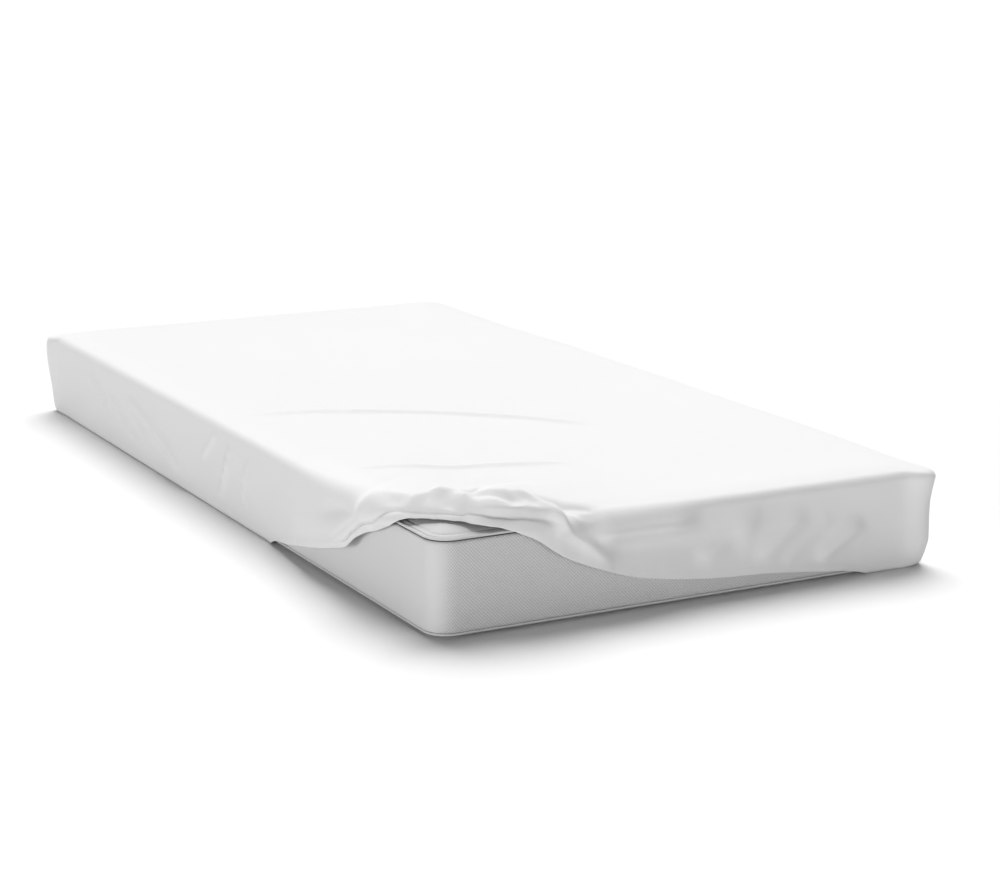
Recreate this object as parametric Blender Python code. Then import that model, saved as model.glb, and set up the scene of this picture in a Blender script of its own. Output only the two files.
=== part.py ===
"""A fitted sheet on a single mattress, its near corner pulled up over the mattress's corner.

Metres, +Z up. The origin is at the middle of the mattress's underside. X runs across the mattress,
Y along it, and the lifted corner is at -X, -Y. The perimeter is measured from that corner: along the
front (-Y) edge for positive values and along the left (-X) edge for negative ones. Depth is measured
along the cloth from the mattress's upper edge: negative on top, positive down the side and on under
the mattress.
"""

import math

import bmesh
import bpy
import numpy as np
from mathutils.geometry import delaunay_2d_cdt

# The mattress
WIDTH = 1.000
LENGTH = 2.000
CORNER_RADIUS = 0.045
PANEL_EDGE_HEIGHT = 0.1735
CROWN_HEIGHT = 0.1862
CROWN_WIDTH = 0.060
CROWN_SHARES = (0.0, 0.12, 0.30, 0.55, 1.0)
TOP_PIPING_RADIUS = 0.0025
TOP_PIPING_INSET = 0.0040
TOP_PIPING_HEIGHT = 0.1720
BOTTOM_PIPING_RADIUS = 0.0022
BOTTOM_PIPING_INSET = 0.0044
BOTTOM_PIPING_HEIGHT = 0.0086
PIPING_GAP = 0.0005
PIPING_SIDES = 8
REBATE_WIDTH = 0.115
REBATE_DEPTH = 0.0050
REBATE_SLOPE = 0.015

# The sheet, whose sizes are those of the cloth's outer face
CLOTH = 0.0015
HEM_THICKNESS = 0.0030
STAND_CLEAR = 0.0048
EDGE_HEIGHT = 0.1795
TOP_HEIGHT = 0.1885
TOP_CROWN_WIDTH = 0.065
UPPER_RADIUS = 0.013
LOWER_RADIUS = 0.008
TUCK_WIDTH = 0.090
PILE_REACH = 0.240
PILE_ROUND = 1.25
PILE_LEAN = 0.50
FOOT_FADE = 0.030
STAND_FADE = 0.030
STEP_RISE = 0.006
STEP_RUN = 0.048
FOLD_ENDS = 0.30

HALF_X = WIDTH / 2 + STAND_CLEAR
HALF_Y = LENGTH / 2 + STAND_CLEAR
SHEET_RADIUS = CORNER_RADIUS + STAND_CLEAR
UPPER_ARC = UPPER_RADIUS * math.pi / 2
LOWER_ARC = LOWER_RADIUS * math.pi / 2
SIDE_LENGTH = EDGE_HEIGHT - UPPER_RADIUS - LOWER_RADIUS
SIDE_START = UPPER_ARC / 2
SIDE_END = SIDE_START + SIDE_LENGTH
TUCK_START = SIDE_END + LOWER_ARC
FULL_DEPTH = TUCK_START + TUCK_WIDTH
PERIMETER = 2 * (WIDTH + LENGTH)

# Sections of the hem round the mattress, by their place along the perimeter.
# depth: the hem's depth; stand: how far it stands off; crest, back: the height of the pile of
# cloth behind it, and how far behind it that lies; band, step: the width of the hem's casing, or
# of the strip that the pocket's slack leaves bare where it folds over, and the rise behind it
HEM_SECTIONS = (
    # place,  depth,  stand,  crest,  back,   band,   step
    (-1.100, FULL_DEPTH, 0.000, 0.000, 0.060, 0.013, 0.000),
    (-0.800, 0.240, 0.000, 0.000, 0.060, 0.013, 0.000),
    (-0.650, 0.163, 0.005, 0.000, 0.100, 0.013, 0.000),
    (-0.560, 0.146, 0.014, 0.000, 0.110, 0.013, 0.000),
    (-0.480, 0.128, 0.020, 0.005, 0.120, 0.013, 0.000),
    (-0.400, 0.111, 0.021, 0.010, 0.110, 0.013, 0.000),
    (-0.330, 0.093, 0.019, 0.015, 0.096, 0.012, 0.000),
    (-0.295, 0.083, 0.017, 0.018, 0.088, 0.010, 0.000),
    (-0.260, 0.058, 0.013, 0.021, 0.074, 0.011, 0.001),
    (-0.225, 0.041, 0.010, 0.022, 0.060, 0.016, 0.002),
    (-0.190, 0.030, 0.008, 0.026, 0.050, 0.019, 0.003),
    (-0.155, 0.015, 0.005, 0.028, 0.042, 0.016, 0.003),
    (-0.100, -0.009, 0.003, 0.029, 0.036, 0.009, 0.003),
    (-0.050, -0.034, 0.001, 0.030, 0.035, 0.008, 0.003),
    (-0.012, -0.043, 0.001, 0.032, 0.037, 0.0095, 0.003),
    (0.025, -0.041, 0.001, 0.043, 0.042, 0.0125, 0.003),
    (0.065, -0.021, 0.002, 0.047, 0.050, 0.0145, 0.006),
    (0.095, -0.008, 0.003, 0.044, 0.056, 0.013, 0.011),
    (0.130, 0.002, 0.006, 0.036, 0.060, 0.011, 0.013),
    (0.160, 0.010, 0.009, 0.027, 0.062, 0.014, 0.013),
    (0.185, 0.022, 0.010, 0.020, 0.068, 0.023, 0.013),
    (0.212, 0.041, 0.011, 0.014, 0.070, 0.037, 0.011),
    (0.240, 0.059, 0.012, 0.010, 0.074, 0.045, 0.000),
    (0.310, 0.089, 0.012, 0.006, 0.086, 0.020, 0.000),
    (0.390, 0.114, 0.011, 0.003, 0.100, 0.013, 0.000),
    (0.540, 0.135, 0.010, 0.000, 0.100, 0.013, 0.000),
    (0.650, 0.142, 0.008, 0.000, 0.060, 0.013, 0.000),
    (0.750, 0.154, 0.005, 0.000, 0.060, 0.013, 0.000),
    (0.840, 0.166, 0.002, 0.000, 0.060, 0.013, 0.000),
    (0.920, 0.195, 0.000, 0.000, 0.060, 0.013, 0.000),
    (1.050, 0.255, 0.000, 0.000, 0.060, 0.013, 0.000),
    (1.250, FULL_DEPTH, 0.000, 0.000, 0.060, 0.013, 0.000),
)

# The main folds, each a soft ridge from one point to another, bent sideways by its bow
FOLDS = (
    # name, from x, y, z, to x, y, z, bow, half width, height
    ("long crease on top", -0.470, -0.030, 0.188, 0.130, -0.440, 0.188, 0.080, 0.022, 0.005),
    ("short crease on top", -0.455, -0.585, 0.188, -0.080, -0.680, 0.188, 0.012, 0.020, 0.003),
    ("bulge along the right edge", 0.500, -1.150, 0.183, 0.500, 0.750, 0.183, 0.000, 0.032, 0.005),
    ("bulge over the left hem", -0.504, -0.430, 0.060, -0.504, -0.770, 0.140, -0.012, 0.024, 0.007),
    ("valley above it", -0.504, -0.560, 0.120, -0.504, -0.770, 0.190, 0.000, 0.018, -0.006),
    ("ridge up the left side", -0.504, -0.640, 0.080, -0.500, -0.832, 0.208, 0.000, 0.013, 0.009),
    ("hollow behind the ridge", -0.503, -0.775, 0.150, -0.478, -0.880, 0.196, 0.000, 0.012, -0.006),
    ("ridge up to the peak", -0.484, -0.870, 0.187, -0.396, -0.890, 0.188, 0.000, 0.010, 0.005),
    ("left pleat one", -0.504, -0.075, 0.030, -0.504, -0.120, 0.130, 0.000, 0.011, 0.004),
    ("left pleat two", -0.504, -0.210, 0.030, -0.504, -0.203, 0.140, 0.000, 0.011, 0.004),
    ("left drag one", -0.504, 0.480, 0.145, -0.504, 0.330, 0.030, 0.000, 0.016, 0.004),
    ("left drag two", -0.504, 0.370, 0.110, -0.504, 0.130, 0.025, 0.010, 0.018, 0.005),
    ("left drag three", -0.504, 0.760, 0.140, -0.504, 0.690, 0.030, 0.000, 0.016, 0.004),
    ("peak of the pile", -0.438, -0.886, 0.188, -0.380, -0.905, 0.188, 0.000, 0.010, 0.012),
    ("hollow under the peak", -0.432, -0.908, 0.188, -0.418, -0.958, 0.188, 0.000, 0.008, -0.006),
    ("corner seam", -0.404, -0.896, 0.188, -0.410, -0.962, 0.188, 0.003, 0.007, 0.004),
    ("hollow beside the seam", -0.405, -0.922, 0.188, -0.345, -0.845, 0.188, 0.000, 0.012, -0.014),
    ("hollow over the roll", -0.408, -0.916, 0.188, -0.325, -0.988, 0.187, 0.000, 0.010, -0.006),
    ("roll over the front hem", -0.412, -0.945, 0.188, -0.285, -1.000, 0.183, 0.000, 0.014, 0.002),
    ("front fold on top", -0.340, -0.932, 0.188, -0.250, -1.020, 0.172, 0.000, 0.010, 0.010),
    ("front fold on the side", -0.300, -1.004, 0.204, -0.165, -1.004, 0.092, 0.000, 0.011, 0.009),
    ("hollow beside the fold", -0.300, -0.940, 0.188, -0.180, -1.012, 0.182, 0.000, 0.018, -0.012),
    ("front patch", -0.240, -1.004, 0.156, 0.020, -1.004, 0.144, 0.000, 0.020, 0.017),
    ("front drag one", -0.010, -1.004, 0.070, 0.140, -1.004, 0.140, 0.000, 0.020, 0.007),
    ("front drag two", 0.115, -1.004, 0.055, 0.240, -1.004, 0.140, 0.000, 0.020, 0.007),
    ("front drag three", 0.250, -1.004, 0.040, 0.360, -1.004, 0.110, 0.000, 0.018, 0.006),
)

# The three fitted corners, where the seam stands out past the mattress's rounded corner
FITTED_CORNERS = (WIDTH, WIDTH + LENGTH, 2 * WIDTH + LENGTH)
EAR_SECTIONS = (
    # depth, reach at the right corner, the far one and the left one
    (-0.060, 0.000, 0.000, 0.000),
    (0.000, 0.028, 0.010, 0.026),
    (0.030, 0.024, 0.011, 0.030),
    (0.060, 0.020, 0.011, 0.028),
    (0.095, 0.020, 0.010, 0.023),
    (0.125, 0.020, 0.009, 0.019),
    (0.145, 0.016, 0.008, 0.017),
    (0.165, 0.010, 0.006, 0.014),
    (TUCK_START, 0.004, 0.002, 0.006),
    (TUCK_START + 0.020, 0.000, 0.000, 0.000),
)
EAR_LENGTH = 0.030

# Depths of the rows of the sheet's mesh, which close up before the casing where the hem is drawn up
ROW_DEPTHS = (
    *(-PILE_REACH, -0.200, -0.120, -0.065, -0.030, -SIDE_START, 0.0, SIDE_START),
    *(0.035, 0.080, 0.125, 0.152, SIDE_END, SIDE_END + LOWER_ARC / 2, TUCK_START, 0.215),
)
ROW_GAP = 0.0085
COLUMN_STRETCHES = (
    # from, to, number of columns
    (-0.950, -0.750, 4),
    (-0.750, -0.600, 9),
    (-0.600, -0.250, 16),
    (-0.250, 0.300, 36),
    (0.300, 0.450, 7),
    (0.450, 0.780, 7),
    (0.780, 0.940, 9),
    (0.940, 1.060, 7),
    (1.060, 2.940, 14),
    (2.940, 3.060, 6),
    (3.060, 3.940, 8),
    (3.940, 4.060, 6),
    (4.060, 5.050, 11),
)

# The rows reach in over the top by the pile's reach near the lifted corner, and by less elsewhere
TOP_ROWS_START = -0.030
TOP_ROWS_SQUEEZE = 0.33
TOP_ROWS_NEAR = 0.45
TOP_ROWS_FAR = 0.75

# Points of the panel inside the rows: a net, and lines along the creases on top and beside them
INNER_SPACING = 0.095
INNER_MARGIN = 0.050
CREASE_STEP = 0.045
CREASE_ROWS = (-1.7, -0.8, 0.0, 0.8, 1.7)
CREASE_MARGIN = 0.020

# Spacing of the points round the mattress and its piping
ARC_STEPS = 4
STRAIGHT_STEP = 0.200
LEAST_RADIUS = 0.010

COLOURS = {
    "fitted_sheet": ((0.93, 0.93, 0.93), 0.85),
    "mattress": ((0.55, 0.55, 0.56), 0.90),
    "piping_top": ((0.70, 0.70, 0.71), 0.80),
    "piping_bottom": ((0.62, 0.62, 0.63), 0.80),
}


def clear_scene():
    """Remove every object that the file starts with."""
    for thing in list(bpy.data.objects):
        bpy.data.objects.remove(thing, do_unlink=True)


def smoothstep(x):
    """Rise softly from 0 to 1 as x goes from 0 to 1."""
    x = np.clip(x, 0.0, 1.0)
    return x * x * (3.0 - 2.0 * x)


def soft_curve(x, knots, values):
    """Read a smooth curve through the knots without overshoot."""
    knots, values = np.asarray(knots), np.asarray(values)
    run, rise = np.diff(knots), np.diff(values)
    slope = rise / run
    tangent = np.zeros(len(knots))
    same_way = slope[1:] * slope[:-1] > 0
    mean = 2 * slope[1:] * slope[:-1] / np.where(same_way, slope[1:] + slope[:-1], 1.0)
    tangent[1:-1] = np.where(same_way, mean, 0.0)
    x = np.clip(x, knots[0], knots[-1])
    k = np.clip(np.searchsorted(knots, x, side="right") - 1, 0, len(run) - 1)
    t = (x - knots[k]) / run[k]
    return (
        values[k] * (1 + 2 * t) * (1 - t) ** 2
        + values[k + 1] * t * t * (3 - 2 * t)
        + run[k] * tangent[k] * t * (1 - t) ** 2
        - run[k] * tangent[k + 1] * t * t * (1 - t)
    )


def rounded_outline(place, half_x, half_y, radius):
    """Return the plan points and outward directions of a rounded rectangle at places on the perimeter."""
    corners = np.array([(-1, -1), (1, -1), (1, 1), (-1, 1), (-1, -1)]) * (half_x, half_y)
    lengths = (WIDTH, LENGTH, WIDTH, LENGTH)
    starts = np.cumsum((0.0, *lengths))
    points, outwards = [], []
    for along in np.mod(place, PERIMETER):
        side = min(int(np.searchsorted(starts, along, side="right")) - 1, 3)
        run = along - starts[side]
        way = (corners[side + 1] - corners[side]) / np.linalg.norm(corners[side + 1] - corners[side])
        out = np.array((way[1], -way[0]))
        left = lengths[side] - run
        if run < CORNER_RADIUS or left < CORNER_RADIUS:
            turn = 1.0 if left < CORNER_RADIUS else -1.0
            corner = corners[side + 1] if turn > 0 else corners[side]
            angle = math.pi / 4 * (1 + min(run, left) / CORNER_RADIUS)
            outward = out * math.sin(angle) + way * turn * math.cos(angle)
            point = corner - (way * turn + out) * radius + outward * radius
        else:
            straight = 2 * (half_x if side % 2 == 0 else half_y) - 2 * radius
            share = (run - CORNER_RADIUS) / (lengths[side] - 2 * CORNER_RADIUS)
            point = corners[side] + way * (radius + straight * share)
            outward = out
        points.append(point)
        outwards.append(outward)
    return np.array(points), np.array(outwards)


def cloth_section(depth):
    """Return the inset from the outline, the height and the tilt of the cloth at each depth."""
    upper = np.clip((depth + SIDE_START) / UPPER_RADIUS, 0, math.pi / 2)
    lower = np.clip((depth - SIDE_END) / LOWER_RADIUS, 0, math.pi / 2)
    on_top = np.minimum(depth + SIDE_START, 0)
    down = np.clip(depth - SIDE_START, 0, SIDE_LENGTH)
    under = np.maximum(depth - TUCK_START, 0)
    inset = UPPER_RADIUS * (1 - np.sin(upper)) - on_top + LOWER_RADIUS * (1 - np.cos(lower)) + under
    height = EDGE_HEIGHT - UPPER_RADIUS * (1 - np.cos(upper)) - down - LOWER_RADIUS * np.sin(lower)
    return inset, height, upper + lower


def crown(x, y):
    """Return how far the cloth's top rises above its height at the mattress's edge."""
    across = np.clip((HALF_X - np.abs(x)) / TOP_CROWN_WIDTH, 0, 1)
    along = np.clip((HALF_Y - np.abs(y)) / TOP_CROWN_WIDTH, 0, 1)
    return (TOP_HEIGHT - EDGE_HEIGHT) * (1 - (1 - across) ** 2) * (1 - (1 - along) ** 2)


def along_line(points, start, end):
    """Return how far along a line points lie, from 0 to 1, and which way it runs."""
    start, span = np.array(start), np.array(end) - np.array(start)
    length = np.linalg.norm(span)
    return np.clip(((points - start) @ span) / length**2, 0, 1), span / length


def fold_line(start, end, bow, share):
    """Return points at shares of a fold's bowed line, and the way to its side on the cloth."""
    if min(start[2], end[2]) > EDGE_HEIGHT:
        facing = (0.0, 0.0, 1.0)
    else:
        facing = (-1.0, 0.0, 0.0) if start[0] < -WIDTH / 2 + CORNER_RADIUS else (0.0, -1.0, 0.0)
    span = end - start
    beside = np.cross(facing, span / np.linalg.norm(span))
    return start + share[..., None] * span + (4 * bow * share * (1 - share))[..., None] * beside, beside


def fold_height(points):
    """Return how far the folds lift the cloth at points of its even surface."""
    lift = np.zeros(points.shape[:-1])
    for _, x0, y0, z0, x1, y1, z1, bow, half_width, height in FOLDS:
        start, end = np.array((x0, y0, z0)), np.array((x1, y1, z1))
        share, _ = along_line(points, start, end)
        gap = np.linalg.norm(points - fold_line(start, end, bow, share)[0], axis=-1)
        ends = smoothstep(share / FOLD_ENDS) * smoothstep((1 - share) / FOLD_ENDS)
        lift += height * ends * np.exp(-((gap / half_width) ** 2))
    return lift


def ear_reach(place, depth):
    """Return how far the seams of the three fitted corners stand out."""
    table = np.array(EAR_SECTIONS)
    reach = np.zeros(depth.shape)
    for k, corner in enumerate(FITTED_CORNERS):
        gap = np.abs(np.mod(place, PERIMETER) - corner)[:, None]
        reach += soft_curve(depth, table[:, 0], table[:, k + 1]) * np.exp(-((gap / EAR_LENGTH) ** 2))
    return reach


def hem_values(place):
    """Read the hem's table at places on the perimeter."""
    table = np.array(HEM_SECTIONS)
    place = np.mod(place + PERIMETER / 2, PERIMETER) - PERIMETER / 2
    return [soft_curve(place, table[:, 0], table[:, k]) for k in range(1, table.shape[1])]


def row_depths(place):
    """Return the depths of the mesh's rows at each place, the last three across the hem's casing."""
    depth = hem_values(place)[0][:, None]
    band = hem_band(place)[:, None]
    casing = depth - band
    gap = np.abs(np.mod(place + PERIMETER / 2, PERIMETER) - PERIMETER / 2)[:, None]
    squeeze = 1 - (1 - TOP_ROWS_SQUEEZE) * smoothstep((gap - TOP_ROWS_NEAR) / (TOP_ROWS_FAR - TOP_ROWS_NEAR))
    rows = np.array(ROW_DEPTHS) + np.zeros_like(depth)
    rows = np.where(rows < TOP_ROWS_START, TOP_ROWS_START + (rows - TOP_ROWS_START) * squeeze, rows)
    left = np.arange(len(ROW_DEPTHS), 0, -1)
    rows = np.minimum(rows, casing - ROW_GAP * left)
    return np.hstack((rows, casing, depth - band / 2, depth))


def hem_band(place):
    """Return the depth that the hem's band takes at each place, less where the cloth stands up."""
    _, _, crest, back, band, _ = hem_values(place)
    rise = PILE_ROUND * crest / back
    return band / np.hypot(1 - PILE_LEAN * rise, rise)


def sheet_surface(place, depth):
    """Return the points of the cloth's outer face for a grid of places and depths."""
    edge, outward = rounded_outline(place, HALF_X, HALF_Y, SHEET_RADIUS)
    inset, height, tilt = cloth_section(depth)
    ear = ear_reach(place, depth)
    x = edge[:, None, 0] * (1 - inset / HALF_X) + outward[:, None, 0] * ear
    y = edge[:, None, 1] * (1 - inset / HALF_Y) + outward[:, None, 1] * ear
    z = height + np.where(tilt < math.pi / 2, crown(x, y), 0.0)
    points = np.stack((x, y, z), axis=-1)
    out = np.broadcast_to(outward[:, None, :], (*depth.shape, 2))
    normal = np.concatenate((out * np.sin(tilt)[..., None], np.cos(tilt)[..., None]), axis=-1)
    along = np.concatenate((out * np.cos(tilt)[..., None], -np.sin(tilt)[..., None]), axis=-1)
    pile, lift = sheet_lift(place, depth, points)
    return points + normal * lift[..., None] + along * (PILE_LEAN * pile)[..., None]


def sheet_lift(place, depth, points):
    """Return how high the cloth is piled up behind its hem, and how far it stands off in all."""
    hem, stand, crest, back, _, step = (value[:, None] for value in hem_values(place))
    behind = hem - depth
    before = 1 - (1 - np.clip(behind / back, 0, 1)) ** PILE_ROUND
    beyond = np.clip((behind - back) / (PILE_REACH + hem - back), 0, 1)
    past = behind - hem_band(place)[:, None]
    pile = crest * np.where(behind < back, before, (1 - beyond**2) ** 2)
    pile += step * smoothstep(past / STEP_RISE) * np.exp(-np.maximum(past, 0) / STEP_RUN)
    lift = stand * np.clip(1 - behind / (np.maximum(hem, STAND_FADE) + STAND_FADE), 0, 1) ** 1.5
    lift += fold_height(points)
    foot = smoothstep((TUCK_START - depth) / FOOT_FADE)
    return pile * foot, np.maximum(pile + lift, 0.0) * foot


def column_places():
    """Return the places of the mesh's columns, close together where the cloth turns or folds."""
    places = []
    for start, end, count in COLUMN_STRETCHES:
        places += list(np.linspace(start, end, count, endpoint=False))
    return np.array(places)


def inside_rim(points, rim, margin):
    """Return the plan points that lie inside a closed rim and no nearer to it than a margin."""
    points = np.array(points)
    ahead = np.roll(rim, -1, axis=0)
    span = ahead - rim
    to_point = points[:, None] - rim
    share = np.clip((to_point * span).sum(axis=2) / (span * span).sum(axis=1), 0, 1)
    gap = np.linalg.norm(to_point - share[..., None] * span, axis=2).min(axis=1)
    level = (rim[:, 1] > points[:, None, 1]) != (ahead[:, 1] > points[:, None, 1])
    rise = np.where(span[:, 1] == 0, 1.0, span[:, 1])
    left = to_point[..., 0] < span[:, 0] * to_point[..., 1] / rise
    inside = (level & left).sum(axis=1) % 2 == 1
    return points[inside & (gap > margin)]


def crease_points():
    """Return plan points along the creases on top and to both sides of each."""
    points = []
    for name, x0, y0, z0, x1, y1, z1, bow, half_width, _ in FOLDS:
        if name.endswith("crease on top"):
            start, end = np.array((x0, y0, z0)), np.array((x1, y1, z1))
            share = np.linspace(0, 1, round(np.linalg.norm(end - start) / CREASE_STEP) + 1)
            line, beside = fold_line(start, end, bow, share)
            points += [line[:, :2] + row * half_width * beside[:2] for row in CREASE_ROWS]
    return np.concatenate(points)


def inner_panel(rim_points):
    """Return plan points inside the rows, and the triangles over them and the rows' inner points."""
    rim = np.array(rim_points)[:, :2]
    across = np.linspace(-HALF_X, HALF_X, round(2 * HALF_X / INNER_SPACING) + 1)
    along = np.linspace(-HALF_Y, HALF_Y, round(2 * HALF_Y / INNER_SPACING) + 1)
    creases = inside_rim(crease_points(), rim, CREASE_MARGIN)
    net = inside_rim([(x, y) for x in across for y in along], rim, INNER_MARGIN)
    clear = np.linalg.norm(net[:, None] - creases, axis=2).min(axis=1) > INNER_MARGIN
    plan = [tuple(point) for point in np.concatenate((rim, creases, net[clear]))]
    count = len(rim)
    border = [(k, (k + 1) % count) for k in range(count)]
    made = delaunay_2d_cdt(plan, border, [], 1, 1e-7)
    return made[0], made[2], made[3]


def outer_face():
    """Return the vertices and faces of the cloth's outer face, and its thickness at each vertex."""
    places = column_places()
    depths = row_depths(places)
    grid = sheet_surface(places, depths)
    columns, rows = depths.shape
    vertices = [tuple(point) for point in grid.reshape(-1, 3)]
    thickness = ([CLOTH] * (rows - 3) + [HEM_THICKNESS] * 3) * columns
    faces = []
    for column in range(columns):
        beside = (column + 1) % columns
        for row in range(rows - 1):
            near, far = column * rows + row, beside * rows + row
            falling = np.linalg.norm(grid[column, row] - grid[beside, row + 1])
            rising = np.linalg.norm(grid[column, row + 1] - grid[beside, row])
            if falling < rising:
                faces += [(near, near + 1, far + 1), (near, far + 1, far)]
            else:
                faces += [(near, near + 1, far), (near + 1, far + 1, far)]
    plan, triangles, source = inner_panel(grid[:, 0])
    index = []
    for k, point in enumerate(plan):
        if source[k] and source[k][0] < columns:
            index.append(source[k][0] * rows)
            continue
        flat = np.array((point[0], point[1], TOP_HEIGHT))
        index.append(len(vertices))
        vertices.append((point[0], point[1], TOP_HEIGHT + float(fold_height(flat))))
        thickness.append(CLOTH)
    faces += [tuple(index[k] for k in triangle) for triangle in triangles]
    return vertices, faces, thickness


def new_object(name, vertices, faces):
    """Make a mesh object with its own material."""
    mesh = bpy.data.meshes.new(name)
    mesh.from_pydata(vertices, [], faces)
    mesh.validate()
    made = bpy.data.objects.new(name, mesh)
    bpy.context.collection.objects.link(made)
    mesh.shade_smooth()
    colour, roughness = COLOURS[name]
    material = bpy.data.materials.new(name)
    material.use_nodes = True
    shader = material.node_tree.nodes["Principled BSDF"]
    shader.inputs["Base Color"].default_value = (*colour, 1.0)
    shader.inputs["Roughness"].default_value = roughness
    shader.inputs["Metallic"].default_value = 0.0
    mesh.materials.append(material)
    return made


def make_sheet():
    """Give the cloth its thickness below its outer face, and close it at the hem."""
    vertices, faces, thickness = outer_face()
    outer = bmesh.new()
    corners = [outer.verts.new(point) for point in vertices]
    for face in faces:
        outer.faces.new([corners[k] for k in face])
    outer.verts.index_update()
    outer.normal_update()
    inner = [tuple(corner.co - corner.normal * depth) for corner, depth in zip(corners, thickness)]
    shift = len(vertices)
    shell = faces + [tuple(k + shift for k in reversed(face)) for face in faces]
    for edge in outer.edges:
        if edge.is_boundary:
            loop = edge.link_loops[0]
            first, second = loop.vert.index, loop.link_loop_next.vert.index
            shell.append((second, first, first + shift, second + shift))
    outer.free()
    return new_object("fitted_sheet", vertices + inner, shell)


def loop_of_outline(inset, height):
    """Return a closed loop of points at an inset from the mattress's outline."""
    radius = max(CORNER_RADIUS - inset, LEAST_RADIUS)
    places = []
    starts = (0.0, WIDTH, WIDTH + LENGTH, 2 * WIDTH + LENGTH)
    for corner, run in zip(starts, (WIDTH, LENGTH, WIDTH, LENGTH)):
        arc = np.linspace(0, CORNER_RADIUS, ARC_STEPS, endpoint=False)
        steps = round(run / STRAIGHT_STEP)
        straight = np.linspace(CORNER_RADIUS, run - CORNER_RADIUS, steps, endpoint=False)
        places += [*(corner + arc), *(corner + straight), *(corner + run - CORNER_RADIUS + arc)]
    plan, _ = rounded_outline(np.array(places), WIDTH / 2 - inset, LENGTH / 2 - inset, radius)
    return [(x, y, height) for x, y in plan]


def bridged_loops(name, loops, capped):
    """Join closed loops of as many points each, and cap their ends or join the last to the first."""
    count = len(loops[0])
    vertices = [point for loop in loops for point in loop]
    faces = []
    pairs = len(loops) - 1 if capped else len(loops)
    for k in range(pairs):
        low, high = k * count, (k + 1) % len(loops) * count
        for j in range(count):
            beside = (j + 1) % count
            faces.append((low + j, low + beside, high + beside, high + j))
    if capped:
        faces.append(tuple(reversed(range(count))))
        faces.append(tuple(range((len(loops) - 1) * count, len(loops) * count)))
    return new_object(name, vertices, faces)


def make_mattress():
    """Make the filled mattress from its underside up to its crowned top."""
    seat = TOP_PIPING_INSET + TOP_PIPING_RADIUS + PIPING_GAP
    high_seat = TOP_PIPING_HEIGHT - TOP_PIPING_RADIUS - PIPING_GAP
    low_inset = BOTTOM_PIPING_INSET + BOTTOM_PIPING_RADIUS + PIPING_GAP
    low_seat = BOTTOM_PIPING_HEIGHT + BOTTOM_PIPING_RADIUS + PIPING_GAP
    profile = [
        (REBATE_WIDTH, 0.0),
        (REBATE_WIDTH - REBATE_SLOPE, REBATE_DEPTH),
        (low_inset, REBATE_DEPTH),
        (low_inset, low_seat),
        (0.0, low_seat),
        (0.0, (low_seat + high_seat) / 2),
        (0.0, high_seat),
        (seat, high_seat),
    ]
    for share in CROWN_SHARES:
        rise = (CROWN_HEIGHT - PANEL_EDGE_HEIGHT) * (1 - (1 - share) ** 2)
        profile.append((seat + CROWN_WIDTH * share, PANEL_EDGE_HEIGHT + rise))
    loops = [loop_of_outline(inset, height) for inset, height in profile]
    return bridged_loops("mattress", loops, True)


def make_piping(name, inset, height, radius):
    """Make one round of piping."""
    loops = []
    for k in range(PIPING_SIDES):
        angle = 2 * math.pi * k / PIPING_SIDES
        loops.append(loop_of_outline(inset - radius * math.cos(angle), height + radius * math.sin(angle)))
    return bridged_loops(name, loops, False)


def main():
    """Build the mattress, its piping and the sheet."""
    clear_scene()
    make_mattress()
    make_piping("piping_top", TOP_PIPING_INSET, TOP_PIPING_HEIGHT, TOP_PIPING_RADIUS)
    make_piping("piping_bottom", BOTTOM_PIPING_INSET, BOTTOM_PIPING_HEIGHT, BOTTOM_PIPING_RADIUS)
    make_sheet()


main()
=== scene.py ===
import math

import bmesh
import bpy
import numpy as np
from bpy.props import FloatProperty, FloatVectorProperty, IntProperty, PointerProperty
from bpy.types import Operator, Panel, PropertyGroup
from mathutils import Matrix, Vector
from mathutils.geometry import delaunay_2d_cdt


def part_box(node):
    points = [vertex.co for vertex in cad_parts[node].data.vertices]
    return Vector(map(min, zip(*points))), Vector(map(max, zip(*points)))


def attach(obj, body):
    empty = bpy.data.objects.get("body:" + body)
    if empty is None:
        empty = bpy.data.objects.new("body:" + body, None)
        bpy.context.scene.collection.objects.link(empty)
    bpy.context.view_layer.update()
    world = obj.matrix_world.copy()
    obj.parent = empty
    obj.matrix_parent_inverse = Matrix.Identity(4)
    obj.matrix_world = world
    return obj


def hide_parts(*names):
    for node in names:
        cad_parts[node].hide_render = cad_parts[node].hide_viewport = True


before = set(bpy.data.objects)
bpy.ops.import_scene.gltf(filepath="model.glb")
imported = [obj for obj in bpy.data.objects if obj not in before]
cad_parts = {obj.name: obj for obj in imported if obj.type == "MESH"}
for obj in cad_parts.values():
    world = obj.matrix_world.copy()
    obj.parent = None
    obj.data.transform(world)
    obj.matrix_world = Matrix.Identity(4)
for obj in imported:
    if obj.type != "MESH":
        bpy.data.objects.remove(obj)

bl_info = {
    "name": "Fitted Sheet on a Mattress",
    "version": (1, 0, 0),
    "blender": (4, 5, 0),
    "location": "View3D > Sidebar > Bedding",
    "description": "A fitted sheet over a single mattress, pulled up at one corner",
    "category": "Object",
}

# Metres, +Z up, the origin at the middle of the mattress's underside. The lifted corner is at -X, -Y.
# The perimeter is measured from it: along the front (-Y) edge for positive values and along the left
# (-X) edge for negative ones. Depth is measured along the cloth from the mattress's upper edge:
# negative on top, positive down the side and on under the mattress.

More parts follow.
